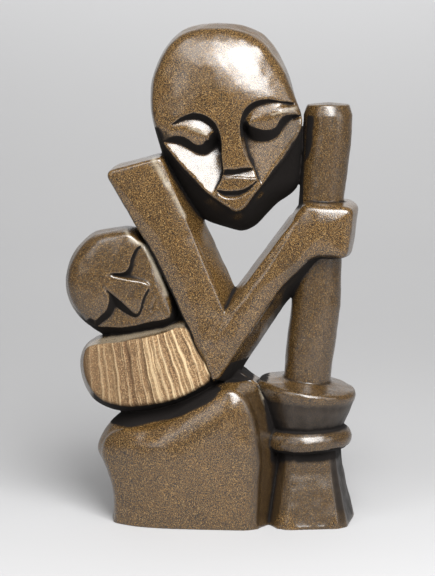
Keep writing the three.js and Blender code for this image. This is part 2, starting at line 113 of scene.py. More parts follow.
def cornered_loop(corners, bends=8, sides=8):
    """A closed line with straight sides and rounded corners through [x, z, cutback]."""
    at = np.array(corners, float)
    line = []
    for i, (x, z, cut) in enumerate(at):
        corner = np.array([x, z])
        ends = []
        for j in (i - 1, (i + 1) % len(at)):
            other = at[j, :2]
            ends.append(corner + (other - corner) * cut / np.linalg.norm(other - corner))
        for t in np.arange(bends + 1) / bends:
            line.append(ends[0] * (1 - t) ** 2 + corner * 2 * t * (1 - t) + ends[1] * t**2)
        x2, z2, cut2 = at[(i + 1) % len(at)]
        goal = np.array([x2, z2])
        goal = goal + (corner - goal) * cut2 / np.linalg.norm(corner - goal)
        for k in range(1, sides):
            line.append(ends[1] + (goal - ends[1]) * k / sides)
    return np.array(line)


def unit(rows):
    """Each row brought to a length of 1."""
    return rows / np.linalg.norm(rows, axis=1, keepdims=True)


def inset(loop, distance):
    """A loop moved inwards along its own normals, by one distance or one for each point."""
    along = unit(np.roll(loop, -1, 0) - np.roll(loop, 1, 0))
    x, z = loop.T
    turn = 1 if np.sum(x * np.roll(z, -1) - z * np.roll(x, -1)) > 0 else -1
    by = turn * np.broadcast_to(distance, len(loop))
    return loop + np.stack([-along[:, 1] * by, along[:, 0] * by], 1)


def at_depth(flat, y):
    """Points [x, y, z] from a flat line of [x, z] and a depth, or a depth for each point."""
    return np.stack([flat[:, 0], np.broadcast_to(y, len(flat)), flat[:, 1]], 1)


def plane(x, z, level, along_x, along_z):
    """A sloping plane: its depth is level at [x, z]."""
    return lambda p: level + along_x * (p[:, 0] - x) + along_z * (p[:, 1] - z)


def smoothstep(low, high, value):
    """A smooth rise from 0 at low to 1 at high, or a fall where low is the higher of the two."""
    t = np.clip((np.asarray(value, float) - low) / (high - low), 0, 1)
    return t * t * (3 - 2 * t)


def depth_inside(points, loop):
    """How far each [x, z] point lies inside a closed line, negative outside it."""
    near = np.full(len(points), np.inf)
    inside = np.zeros(len(points), bool)
    for start, end in zip(loop, np.roll(loop, -1, 0)):
        run, away = end - start, points - start
        share = np.clip(away @ run / max(run @ run, 1e-12), 0, 1)
        near = np.minimum(near, np.linalg.norm(away - share[:, None] * run, axis=1))
        crosses = (start[1] > points[:, 1]) != (end[1] > points[:, 1])
        with np.errstate(divide="ignore", invalid="ignore"):
            meets = start[0] + (points[:, 1] - start[1]) * run[0] / run[1]
        inside ^= crosses & (points[:, 0] < meets)
    return np.where(inside, near, -near)


# Bodies

def placed(name, data):
    """An object in the scene with this mesh, light or camera."""
    body = bpy.data.objects.new(name, data)
    bpy.context.scene.collection.objects.link(body)
    return body


def built(name, bm):
    """An object with the faces under way, turned outwards."""
    bmesh.ops.recalc_face_normals(bm, faces=bm.faces)
    mesh = bpy.data.meshes.new(name)
    bm.to_mesh(mesh)
    bm.free()
    return placed(name, mesh)


def rolled(name, rows):
    """A closed body from a grid whose rows are rolled onto rings of points. A row of one point is a pole."""
    around = max(len(row) for row in rows)
    bm = bmesh.new()
    grid = bmesh.ops.create_grid(bm, x_segments=around, y_segments=len(rows) - 1, size=1)["verts"]
    for r, row in enumerate(rows):
        for c in range(around + 1):
            grid[r * (around + 1) + c].co = row[c % len(row)]
    bmesh.ops.remove_doubles(bm, verts=bm.verts, dist=1e-4)
    bmesh.ops.holes_fill(bm, edges=bm.edges, sides=0)
    return built(name, bm)


def carved(name, rim, girth, heart, front, crown, back, back_crown, edge, power=2.0, back_inset=0.0):
    """One rounded form: a crowned face, a rounded edge and a wall that swells to the girth, at the front and
    again, plainer, at the back. A face lies at one depth, or at a depth for each point."""
    heart = np.array(heart, float)
    edges = edge(rim) if callable(edge) else np.full(len(rim), float(edge))

    def half(rim, face, rise, side):
        level = face if callable(face) else lambda p: np.full(len(p), float(face))
        lip = inset(rim, edges)
        reach = np.linalg.norm(lip - heart, axis=1)
        start = np.arctan(power * rise / reach)
        rows = []
        for share in np.linspace(0, 1, FACE_RINGS):
            flat = heart + (lip - heart) * share
            rows.append(at_depth(flat, level(flat) + side * rise * (1 - share**power)))
        rows[0] = rows[0][:1]
        radius = edges / (1 - np.sin(start))
        for turn in np.linspace(0, 1, EDGE_RINGS)[1:]:
            angle = start + (math.pi / 2 - start) * turn
            flat = inset(rim, edges - radius * (np.sin(angle) - np.sin(start)))
            drop = level(lip) * (1 - turn) + level(rim) * turn
            drop = drop - side * radius * (np.cos(start) - np.cos(angle))
            rows.append(at_depth(flat, drop))
        for share in np.linspace(0, 1, WALL_RINGS)[1:]:
            swell = 0.45 * share + 0.55 * math.sin(share * math.pi / 2)
            flat = rim + (girth - rim) * swell
            rows.append(at_depth(flat, drop * (1 - share)))
        return rows

    fore = half(rim, front, crown, -1)
    rear = half(inset(rim, back_inset), back, back_crown, 1)
    return rolled(name, fore + rear[-2::-1])


def baked(body):
    """The body with its modifiers made part of its mesh."""
    depsgraph = bpy.context.evaluated_depsgraph_get()
    mesh = bpy.data.meshes.new_from_object(body.evaluated_get(depsgraph))
    old = body.data
    body.modifiers.clear()
    body.data = mesh
    bpy.data.meshes.remove(old)
    return body


def combined(body, other, operation):
    """The body after another is joined to it, cut out of it or kept where both are."""
    modifier = body.modifiers.new("combined", "BOOLEAN")
    modifier.operation = operation
    modifier.solver = "MANIFOLD"
    modifier.object = other
    baked(body)
    bpy.data.objects.remove(other)
    return body


def sunk(quads, edge_depth, floor):
    """A cutter with a sloping floor and drafted walls, from [x, z at the edge, x, z at the foot]."""
    q = np.array(quads, float)
    edge, foot = smooth_loop(q[:, :2], FIELD_STEPS), smooth_loop(q[:, 2:], FIELD_STEPS)
    heart = foot.mean(0)
    rows = [at_depth(edge, BEFORE_STONE), at_depth(edge, edge_depth)]
    for share in np.linspace(1, 0, FLOOR_RINGS):
        flat = heart + (foot - heart) * share
        rows.append(at_depth(flat, floor(flat)))
    rows[-1] = rows[-1][:1]
    return rolled("cutter", rows)


def raised(quads, face_depth, floor, ridge=None, swell=0.0):
    """A raised form, with its foot on the floor of the field around it. Its face lies at one depth, or swells
    forward from there to a ridge, a line of [x, z]."""
    q = np.array(quads, float)
    face, foot = smooth_loop(q[:, :2], FIELD_STEPS), smooth_loop(q[:, 2:], FIELD_STEPS)
    rows = [at_depth(face, face_depth)]
    if ridge:
        line = np.array(ridge, float)
        x = np.clip(face[:, 0], line[0, 0], line[-1, 0])
        top = np.stack([x, np.interp(x, line[:, 0], line[:, 1])], 1)
        away = np.linalg.norm(face - top, axis=1)
        rows = []
        for share in RIDGE_SHARES:
            rise = swell * (1 - (away * share / np.maximum(away, RIDGE_REACH)) ** 2)
            rows.append(at_depth(top + (face - top) * share, face_depth - rise))
    rows += [at_depth(foot, floor(foot)), at_depth(foot, floor(foot) + RELIEF_ROOT)]
    return rolled("relief", rows)


def turned(name, profile, around, move):
    """A body of revolution from [radius, height] pairs, spun upright, whose points then move."""
    bm = bmesh.new()
    points = [bm.verts.new((r, 0, z)) for r, z in profile]
    edges = [bm.edges.new(pair) for pair in zip(points, points[1:])]
    whole_turn = {"axis": (0, 0, 1), "cent": (0, 0, 0), "angle": 2 * math.pi, "use_merge": True}
    bmesh.ops.spin(bm, geom=points + edges, steps=around, **whole_turn)
    bmesh.ops.remove_doubles(bm, verts=bm.verts, dist=1e-4)
    for v in bm.verts:
        v.co = move(v.co)
    return built(name, bm)


# The mother's head and face

FACE_DEPTH = -27.0
LEFT_VALLEY = -27.3
RIGHT_VALLEY = -27.0
LEFT_LID_DEPTH = -28.2
RIGHT_LID_DEPTH = -28.4
SMILE_DEPTH = -26.8
LEFT_FIELD = [
    [-40, 235, -39, 232], [-30.2, 239.6, -28.8, 235.8], [-21, 245.2, -19.5, 240.8],
    [-15, 248.2, -14.5, 243.6], [-9.4, 249.8, -9.4, 244.6], [-4, 249.2, -4.4, 244],
    [1, 246.9, -0.4, 242], [5.2, 242.8, 3.2, 238.6],
    [7.6, 234.5, 5.8, 232.6], [8.5, 221.3, 7.7, 221.3], [9, 215, 8.3, 214.6], [7.8, 209.5, 7.2, 209],
    [5.6, 205, 5, 205], [2.6, 200.6, 2.4, 200.8], [-10, 197, -10, 197], [-25, 210, -25, 210],
    [-40, 222, -40, 222],
]
RIGHT_FIELD = [
    [18.4, 240, 19.8, 238.5], [18.9, 245.6, 20.6, 243.6], [20.8, 251, 22.6, 248], [25.4, 256, 26.8, 251.6],
    [32.5, 259.2, 33, 254], [38.5, 259.7, 38.5, 254.6], [45, 258.2, 44.4, 253.6], [53, 255, 53, 251.6],
    [62, 252.5, 62, 249], [64, 238, 64, 238], [50, 212, 50, 212], [37, 198, 37, 198],
    [29.4, 207.4, 29.8, 208], [25.9, 216.4, 26.8, 215], [21.3, 226, 22.2, 226],
]
UNDER_NOSE = [
    [8.8, 215.2, 8.6, 211.8], [15, 215.8, 15, 212.9], [21, 216.8, 21, 214.6], [26.6, 216.6, 27, 215.6],
    [31, 210.4, 31, 212], [26, 208.8, 26, 210.6], [19, 209.2, 19, 211], [12, 209, 12, 210.8],
    [5, 204.8, 6.2, 207],
]
MOUTH = [
    [8, 213, 8, 212], [28, 213, 28, 212], [44, 214, 44, 214], [44, 188, 44, 188], [16, 178, 16, 178],
    [-10, 188, -10, 188], [-6, 200, -6, 200], [3.6, 205, 3.6, 205],
]
CHIN = [
    [-2, 203.4], [4.2, 202.8], [9.5, 201.6], [14.8, 201], [20, 202], [24.7, 205], [29.5, 209.6],
    [44, 214], [44, 188], [16, 178], [-10, 188],
]
LEFT_LID = [
    [0.3, 233.4, 5.2, 231.8], [-1.2, 235.4, 3.6, 237.4], [-5, 238.6, -0.2, 241.6], [-10, 240.4, -7, 245],
    [-15, 240.9, -14, 245.2], [-20, 240.6, -20, 243.7], [-26, 239.4, -26, 240.8], [-37, 237.5, -38, 237.5],
    [-37, 231, -38, 230], [-25, 233.6, -26, 231], [-20, 234.5, -20, 230.4], [-14.5, 233.8, -14.5, 228.4],
    [-11, 231.8, -11, 226.2], [-7.8, 230, -6.8, 224], [-4, 229.8, -2.5, 223.4], [-1.8, 231.2, 1.5, 226.4],
]
LEFT_RIDGE = [
    [-36.5, 237], [-26, 239], [-20, 240.2], [-15, 240.5], [-10, 240], [-5, 238.2], [-1.2, 235], [0, 233.6],
]
RIGHT_LID = [
    [23.8, 241.8, 20.3, 240.6], [24.8, 244, 21.4, 245.6], [28.5, 245.4, 25, 250.6], [33, 246.6, 31.5, 253.6],
    [38, 248.9, 38, 255], [43.5, 250.4, 44, 255], [50, 251.8, 51, 254.4], [60, 253, 61, 254],
    [60, 248.6, 61, 247.8], [49.5, 248, 50, 246.2], [45.5, 246.8, 46, 243.4], [42.4, 244, 43, 239.6],
    [40, 240.9, 40.3, 235], [36.5, 238.9, 36.8, 232.2], [31, 238.6, 31.5, 231.2], [26.6, 239.5, 25.5, 232.4],
    [24.2, 240.3, 21.3, 236.2],
]
RIGHT_RIDGE = [
    [24.6, 243.4], [28.5, 245], [33, 246.2], [38, 248.5], [43.5, 250], [50, 251.4], [60, 252.6],
]
SMILE = [
    [3.2, 204, 5.6, 202.4], [10, 203.9, 10, 200.6], [16, 204, 15.6, 200.4], [21, 205.2, 20.4, 201.8],
    [25, 207.4, 24.6, 204.4], [29.6, 210, 28.6, 208], [25.8, 202.6, 24, 203.6], [20.2, 197.9, 18.6, 200.4],
    [14, 196.2, 14, 199.6], [7.8, 197.8, 9.4, 200],
]
HEAD_RIM = [
    [4, 298], [27.5, 291.8], [41.6, 275.5], [49.8, 258], [54.3, 243], [49, 227.5], [37, 211.2],
    [27, 199.5], [20.5, 191.5], [16, 190], [10, 193], [-6, 204.6], [-19, 218], [-29.5, 234],
    [-34, 255], [-31, 274.5], [-18.5, 292.6],
]
HEAD_GIRTH = [
    [4, 300], [28.4, 294.6], [42.4, 277], [49, 257], [52.8, 240], [53.2, 222], [51, 203],
    [38, 192], [25.5, 179.3], [18, 176.5], [9, 178], [-6, 184], [-24, 208], [-32.6, 231],
    [-37.1, 254], [-33.5, 274], [-19.5, 294.3],
]


def mother_head():
    """An egg that leans to her left, with an undercut jaw, two sunken fields under the brows, heavy lids,
    a wedge of a nose and a small smile."""
    def front(p):
        cheeks = smoothstep(242, 226, p[:, 1]) * smoothstep(12, 24, np.abs(p[:, 0] - 14))
        dome = 0.003 * np.maximum(0, p[:, 1] - 258) ** 2
        return FACE_DEPTH + 0.04 * (p[:, 1] - 250) + dome + 2 * cheeks

    head = carved(
        "head",
        rim=smooth_loop(HEAD_RIM),
        girth=smooth_loop(HEAD_GIRTH),
        heart=(9, 250),
        front=front,
        crown=6.8,
        back=23,
        back_crown=9,
        edge=lambda p: 2.8 + 2.2 * smoothstep(242, 266, p[:, 1]),
        power=2.7,
        back_inset=3.5,
    )
    left_cheek = plane(4.9, 226.1, -19.6, 0.208, 0.295)
    right_cheek = plane(19.6, 232.1, -19.2, -0.24, 0.2)

    def left_floor(p):
        valley = LEFT_VALLEY + 15 * smoothstep(-19, -37, p[:, 0])
        share = smoothstep(230, 238, p[:, 1])
        return left_cheek(p) * (1 - share) + valley * share

    def right_floor(p):
        valley = RIGHT_VALLEY + 14 * smoothstep(40, 56, p[:, 0])
        share = smoothstep(0, 8, p[:, 1] - 236 - 0.25 * (p[:, 0] - 20))
        return right_cheek(p) * (1 - share) + valley * share

    left_lid = raised(LEFT_LID, LEFT_LID_DEPTH, left_floor, LEFT_RIDGE, 1.5)
    combined(left_lid, copy_of(head), "INTERSECT")
    right_lid = raised(RIGHT_LID, RIGHT_LID_DEPTH, right_floor, RIGHT_RIDGE, 1.6)
    combined(right_lid, copy_of(head), "INTERSECT")
    cuts = [
        (LEFT_FIELD, -35, left_floor),
        (RIGHT_FIELD, -35, right_floor),
        (UNDER_NOSE, -33, plane(17, 212.5, -28.6, 0.03, 0.34)),
        (MOUTH, -35, plane(16, 203, -30, 0, 0.03)),
        ([corner + corner for corner in CHIN], -35, plane(16, 200, -28.6, 0, 0.03)),
    ]
    for quads, edge_depth, floor in cuts:
        combined(head, sunk(quads, edge_depth, floor), "DIFFERENCE")
    combined(head, left_lid, "UNION")
    combined(head, right_lid, "UNION")
    return combined(head, sunk(SMILE, -31, plane(16, 201, SMILE_DEPTH, 0, 0)), "DIFFERENCE")


def copy_of(body):
    """A second body with the same mesh."""
    return placed(body.name + "_copy", body.data.copy())


# The arms and the fist

UPPER_ARM_RIM = [
    [-62.2, 213, 6], [-28, 222.5, 3], [-12, 184, 2], [9.3, 131, 3], [3, 86, 4], [-25.8, 147, 3],
    [-32.8, 161.5, 6],
]
UPPER_ARM_GIRTH = [
    [-61.5, 214.5, 6], [-29, 222.5, 3], [-4.5, 182, 2], [16, 137, 3], [8, 84, 4], [-24.5, 147, 3],
    [-31.8, 161.5, 6],
]
FOREARM_RIM = [
    [9.3, 131.1, 3], [50.5, 186.6, 3], [64, 187, 4], [64, 166.5, 4], [42, 144.5, 3], [4, 87, 4],
    [-2, 110, 4],
]
FOREARM_GIRTH = [
    [9, 135, 3], [47.5, 187.3, 3], [64, 187, 4], [70, 160, 4], [45, 134, 3], [12, 83, 4],
    [-2, 110, 4],
]
HAND_RIM = [
    [50, 188.6, 4], [56, 194.8, 3], [85.5, 193.6, 6], [81.5, 162.5, 5], [63, 163.5, 4], [44, 152, 4],
    [43, 166, 4],
]
HAND_GIRTH = [
    [49.5, 190.5, 4], [56, 195.6, 3], [88, 193.8, 6], [83.5, 161.5, 5], [63, 161, 4], [46, 147, 4],
    [42, 168, 4],
]


def limb(name, rim, girth, heart):
    """A slab with straight sides and soft corners, as deep as the arms are."""
    return carved(
        name,
        rim=cornered_loop(rim),
        girth=cornered_loop(girth),
        heart=heart,
        front=-LIMB_DEPTH / 2,
        crown=2,
        back=LIMB_DEPTH / 2,
        back_crown=1,
        edge=LIMB_EDGE,
    )


def upper_arm():
    """The upper arm leans from the shoulder to the elbow."""
    return limb("upper_arm", UPPER_ARM_RIM, UPPER_ARM_GIRTH, (-18, 160))


def forearm():
    """The forearm rises from the elbow to the hand on the pestle."""
    return limb("forearm", FOREARM_RIM, FOREARM_GIRTH, (27, 142))


def hand():
    """The fist that grips the pestle, farther forward there than at the wrist."""
    reach = PESTLE_RADIUS + GRIP
    wrist = LIMB_DEPTH / 2 - 0.6
    knuckles = reach - 1.5
    return carved(
        "hand",
        rim=cornered_loop(HAND_RIM),
        girth=cornered_loop(HAND_GIRTH),
        heart=(68, 179),
        front=lambda p: -wrist - (knuckles - wrist) * smoothstep(44, 66, p[:, 0]),
        crown=1.5,
        back=reach - 2.2,
        back_crown=1,
        edge=4,
    )


# The child and the wrap

CHILD_RIM = [
    [-61, 176.5], [-49, 176.6], [-38.4, 169], [-30.6, 154.5], [-23.6, 135.5], [-23.6, 126], [-42, 121.3],
    [-60, 118.3], [-72, 120.5], [-82.5, 132], [-86, 148], [-80.5, 164], [-71, 173.5],
]
CHILD_GIRTH = [
    [-60, 177.5], [-46, 178], [-36.4, 168], [-28, 150], [-18.5, 126], [-22, 116], [-42, 112],
    [-60, 110], [-72.5, 116], [-85.5, 129.5], [-89, 147], [-83, 163.5], [-72, 174.5],
]
CHILD_FIELD = [
    [-36, 173, -36, 171], [-43.6, 170.4, -42.6, 167], [-47.4, 163.6, -45.6, 160.5],
    [-48.4, 158.6, -46.6, 154.6], [-51.6, 155.2, -50, 150.4], [-61.5, 152.6, -59.5, 149.6],
    [-64.9, 146.6, -62, 144.5],
    [-62.4, 138.4, -56.6, 137], [-64.2, 133, -58.6, 127.6], [-71, 126, -68, 119.4], [-76, 118, -73, 112],
    [-50, 106, -50, 106], [-10, 112, -10, 112], [-12, 135, -12, 135], [-27, 165, -27, 165],
]
CHILD_NOSE = [
    [-64, 151, -64, 152], [-50, 149, -49.6, 150], [-37.2, 145.6, -35.8, 146], [-40, 138, -38.6, 136.6],
    [-43.6, 130, -43.4, 126], [-53, 136.6, -56, 132], [-64.5, 147, -65, 141.5],
]

# The bevel of the child's head beside the arm: a point on its edge, the way it faces, its width and its fall
CHILD_BEVEL = np.array([[-38.4, 169], [0.915, 0.404]])
CHILD_BEVEL_WIDTH = 4.0
CHILD_BEVEL_FALL = 0.42
CHILD_DEPTH = -20.5
FOLDS = [[-30, 142.5, -37, 125.5], [-27.8, 140.6, -32.2, 128.2]]
FOLD_WIDTH = 2.0
FOLD_DEPTH = 1.2
FOLD_SHARES = (0.3, 0.5, 0.7)
WRAP_DEPTH = -25.0
WRAP_BEND = 4.5
WRAP_RIM = [
    [-73, 107.5], [-52, 111.5], [-30, 116.5], [-15.5, 120.5], [-9.5, 109], [-0.5, 89.5], [-6.6, 84.5],
    [-17.3, 78.7], [-35, 74], [-54, 72.7], [-68, 78], [-75, 90], [-76, 101],
]
WRAP_GIRTH = [
    [-74, 108.5], [-52, 116], [-30, 121], [-10, 125], [-2, 108], [8, 88], [-3, 77], [-17, 71],
    [-36, 66], [-57, 65.5], [-73, 73], [-80.3, 90], [-79.5, 101],
]


def child_head():
    """The child's round head, turned to its mother's shoulder: one sunken field under two brows,
    with the nose standing in it and two folds at the mouth."""
    def front(p):
        past_bevel = (p - CHILD_BEVEL[0]) @ CHILD_BEVEL[1]
        return CHILD_DEPTH + CHILD_BEVEL_FALL * np.maximum(0, past_bevel + CHILD_BEVEL_WIDTH)

    head = carved(
        "child",
        rim=smooth_loop(CHILD_RIM),
        girth=smooth_loop(CHILD_GIRTH),
        heart=(-58, 148),
        front=front,
        crown=2.4,
        back=14,
        back_crown=8,
        edge=lambda p: 1.8 + 5.2 * smoothstep(-44, -62, p[:, 0]),
    )
    level = plane(-60, 134, -15.6, -0.2, 0.02)
    nose = combined(raised(CHILD_NOSE, -22.4, level), copy_of(head), "INTERSECT")
    combined(head, sunk(CHILD_FIELD, -26, level), "DIFFERENCE")
    combined(head, nose, "UNION")
    for line in FOLDS:
        combined(head, groove(line, level, FOLD_WIDTH, FOLD_DEPTH), "DIFFERENCE")
    return head


def groove(line, surface, width, depth):
    """A V cut between two points of a surface, which runs out at both ends."""
    start, end = np.array(line[:2], float), np.array(line[2:], float)
    across = (end - start) / np.linalg.norm(end - start)
    across = np.array([across[1], -across[0]]) * width / 2

    def point(share, aside, y):
        flat = (start + (end - start) * share + across * aside)[None]
        return at_depth(flat, surface(flat) + y)[0]

    rows = [[point(0, 0, -depth)]]
    for share in FOLD_SHARES:
        rows.append([point(share, 2, -depth), point(share, -2, -depth), point(share, 0, depth)])
    return rolled("groove", rows + [[point(1, 0, -depth)]])


def wrap_front(p):
    """The depth of the wrap's face, which bends back on the child's far side."""
    away = np.clip((-8 - p[:, 0]) / 68, 0, 1)
    return WRAP_DEPTH + WRAP_BEND * away**2


def wrap():
    """The cloth that ties the child on."""
    return carved(
        "wrap",
        rim=smooth_loop(WRAP_RIM, WRAP_STEPS),
        girth=smooth_loop(WRAP_GIRTH, WRAP_STEPS),
        heart=(-38, 96),
        front=wrap_front,
        crown=0.6,
        back=24,
        back_crown=3,
        edge=2.2,
    )


# The lap, the mortar and the pestle

HIPS_RIM = [
    [-50, 58.5], [-38, 60], [-24, 65], [-8, 74.5], [4, 82], [12, 85.2], [19.5, 82.6], [25.5, 74],
    [29.6, 60], [31.2, 42], [30.6, 24], [30, 6], [29.5, -14], [-20, -16], [-59, -14], [-58.6, 6],
    [-59.5, 20], [-63, 31], [-66.5, 42], [-62, 53],
]
HIPS_GIRTH = [
    [-54, 66], [-38, 72], [-24, 76], [-8, 84], [5, 87.6], [15, 88], [25, 86], [38, 76], [43, 60],
    [44, 42], [43, 24], [42, 6], [40, -14], [-20, -16], [-62.5, -14], [-60.2, 6], [-61, 20],
    [-64.5, 31], [-70.3, 42], [-64, 56.5],
]
PESTLE_LINE = [(56.6, 78), (58.4, 100), (62.3, 131), (65, 195), (68.4, 231), (68.9, 252)]
PESTLE_GIRTH = [
    (78, 0.98), (97, 0.98), (112, 1.03), (131, 1.03), (160, 0.97), (196, 0.93), (231, 1), (252, 1),
]
PESTLE_HEAD = 7.0
PESTLE_DOME = 1.6
PESTLE_SIDES = 64
PESTLE_RINGS = 30
MORTAR_SIDES = 72
FOOT_STEPS = 100
CORE_LINE = [
    [-30, 212], [-14, 185], [2, 148], [8, 128], [11, 98], [22, 88.6], [48, 66], [44, 20], [40, -12],
    [-50, -12], [-52, 30], [-46, 62], [-58, 84], [-61, 113], [-50, 140], [-38, 166], [-40, 196],
]


def hips():
    """The hips and the lap, a heavy block that stands on the floor."""
    return carved(
        "hips",
        rim=smooth_loop(HIPS_RIM),
        girth=smooth_loop(HIPS_GIRTH),
        heart=(2, 42),
        front=lambda p: -30 + 13 * (np.maximum(0, -12 - p[:, 0]) / 54) ** 2,
        crown=4,
        back=27,
        back_crown=7,
        edge=lambda p: 5 - 1.5 * smoothstep(0, 20, p[:, 0]),
        power=4,
    )


def stepped(radius, steps):
    """[radius, height] pairs, from how far each lies outside a radius."""
    return [(radius + out, z) for out, z in steps]


def mortar():
    """A bowl with a tilted rim, on a ring and a foot with five soft sides."""

    def lean(p):
        share = float(smoothstep(60, 80, p.z))
        return Vector((p.x + MORTAR_X, p.y, p.z + share * (1.2 + 0.05 * p.y - 0.12 * p.x)))

    def tilted(p):
        return Vector((p.x + MORTAR_X, p.y, p.z + 0.04 * p.x))

    def faceted(p):
        side = 2 * math.pi / FOOT_SIDES
        from_middle = (math.atan2(p.y, p.x) + math.radians(FOOT_TURN)) % side - side / 2
        wide = min(1 / math.cos(from_middle), FOOT_CORNERS)
        return Vector((p.x * wide + MORTAR_X, p.y * wide, p.z))

    swell = RIM_RADIUS - BOWL_FOOT_RADIUS
    flare = [(0.2 * swell, 61), (0.4 * swell, 65), (0.6 * swell, 69.5)]
    lip = [(-1.9, 74), (-0.7, 77), (0, 80), (-0.3, 81.6), (-1.1, 82.6), (-2.4, 83.1)]
    bowl_line = (
        [(0, 50)]
        + stepped(BOWL_FOOT_RADIUS, [(-1, 50), (0, 57.5)] + flare)
        + stepped(RIM_RADIUS, lip)
        + stepped(PESTLE_RADIUS, [(4, 84.4), (0, 85.6), (-3, 87)])
        + [(0, 87)]
    )
    round_line = [
        (-5, 45), (-2.6, 45.7), (-1, 47.2), (-0.1, 49.3), (0, 51.4), (-0.5, 53.6), (-1.6, 55.6), (-3.4, 57.2),
    ]
    ring_line = [(0, 45)] + stepped(RING_RADIUS, round_line) + [(BOWL_FOOT_RADIUS - 2, 59), (0, 59)]
    foot_line = (
        [(0, -8)]
        + stepped(FOOT_RADIUS, [(3, -8), (1, 0), (-1.2, 10)])
        + [((FOOT_RADIUS + FOOT_NECK_RADIUS) / 2, 22)]
        + stepped(FOOT_NECK_RADIUS, [(1.3, 33), (0, 46.5)])
        + [(0, 46.5)]
    )
    bowl = turned("bowl", bowl_line, MORTAR_SIDES, lean)
    ring = turned("ring", ring_line, MORTAR_SIDES, tilted)
    foot = turned("foot", foot_line, FOOT_STEPS, faceted)
    combined(bowl, ring, "UNION")
    return combined(bowl, foot, "UNION")


def pestle():
    """A long round club, a little bowed, thicker below the hand, with a rounded head."""
    xs, zs = np.transpose(PESTLE_LINE)
    low, high = zs[0], zs[-1]
    angles = np.linspace(0, 2 * math.pi, PESTLE_SIDES, endpoint=False)
    rows = [[(xs[0], 0, low)]]
    for z in np.linspace(low, high, PESTLE_RINGS):
        x = np.interp(z, zs, xs)
        ending = max(0.0, z - high + PESTLE_HEAD) / PESTLE_HEAD
        radius = PESTLE_RADIUS * np.interp(z, *np.transpose(PESTLE_GIRTH)) * (1 - 0.14 * ending**2)
        ring = [x + radius * np.cos(angles), radius * np.sin(angles), np.full(PESTLE_SIDES, z)]
        rows.append(np.stack(ring, 1))
    rows.append([(xs[-1], 0, high + PESTLE_DOME)])
    return rolled("pestle", rows)


def core():
    """The stone between the forms, behind the grooves: neck, back and side of the lap."""
    loop = smooth_loop(CORE_LINE, FIELD_STEPS)
    return carved(
        "core", loop, loop, heart=(-14, 90), front=-8, crown=1, back=15, back_crown=1, edge=1
    )


def floor_cut():
    """Everything below the floor, which is cut away flat."""
    bm = bmesh.new()
    bmesh.ops.create_cube(bm, size=CUT_SIZE)
    bmesh.ops.translate(bm, verts=bm.verts, vec=(0, 0, -CUT_SIZE / 2))
    return built("below", bm)


# The skin of the finished stone

class Skin:
    """The points of a mesh with their neighbours, so that a whole surface is worked at once."""

    def __init__(self, mesh):
        self.mesh = mesh
        count = len(mesh.vertices)
        self.points = np.empty(count * 3)
        mesh.vertices.foreach_get("co", self.points)
        self.points = self.points.reshape(-1, 3)
        ends = np.empty(len(mesh.edges) * 2, np.int64)
        mesh.edges.foreach_get("vertices", ends)
        self.a, self.b = ends.reshape(-1, 2).T
        self.count = count
        self.valence = np.bincount(self.a, minlength=count) + np.bincount(self.b, minlength=count)

    def spread(self, values):
        """Each value replaced by the mean of its neighbours' values."""
        if values.ndim > 1:
            return np.stack([self.spread(column) for column in values.T], 1)
        total = np.bincount(self.a, weights=values[self.b], minlength=self.count)
        total += np.bincount(self.b, weights=values[self.a], minlength=self.count)
        return total / self.valence

    def softened(self, values, times, share=0.5):
        """The values moved by a share towards their neighbours' mean, so many times."""
        for _ in range(times):
            values = values + share * (self.spread(values) - values)
        return values

    def normals(self):
        """The way that the surface faces at each point."""
        found = np.empty(self.count * 3)
        self.mesh.vertices.foreach_get("normal", found)
        return found.reshape(-1, 3)

    def store(self):
        """Puts the points back in the mesh."""
        self.mesh.vertices.foreach_set("co", self.points.ravel())
        self.mesh.update()

    def note(self, name, values):
        """Keeps one number for each point, for the material to read."""
        attribute = self.mesh.attributes.new(name, "FLOAT", "POINT")
        attribute.data.foreach_set("value", values.astype(np.float32))


def waves(points, length, count, rng):
    """An even, unrepeated ripple between about -1 and 1, with waves of about this length."""
    total = np.zeros(len(points))
    for _ in range(count):
        direction = rng.normal(size=3)
        direction /= np.linalg.norm(direction)
        wave = length * rng.uniform(0.7, 1.4)
        total += np.sin(points @ direction * 2 * math.pi / wave + rng.uniform(0, 6.28))
    return total / math.sqrt(count)


# The fan of chisel strokes on the wrap, with 0 at its left edge and 1 at its right one
FAN_START = -0.4
FAN_END = 1.4
HALVINGS = 26
STROKES = 60
THREADS = 260
THREAD_WIDTH = 0.0085
THREAD_DEPTH = 0.16


def fan_place(points):
    """Where each point of the wrap lies in the fan of strokes: its share across it, and its share down it.
    The share across is found by halving the span where it must be."""
    low, high = np.full(len(points), FAN_START), np.full(len(points), FAN_END)

    def line_at(t):
        top = np.stack([-72 + 56 * t, 106.5 + 13.5 * t], 1)
        foot = np.stack([-71 + 69 * t, 79 - 26 * t + 33 * t * t], 1)
        return top, foot

    for _ in range(HALVINGS):
        t = (low + high) / 2
        top, foot = line_at(t)
        run, away = foot - top, points - top
        beyond = run[:, 0] * away[:, 1] - run[:, 1] * away[:, 0] > 0
        low, high = np.where(beyond, t, low), np.where(beyond, high, t)
    top, foot = line_at(t)
    run = foot - top
    return t, np.sum((points - top) * run, 1) / np.sum(run * run, 1)


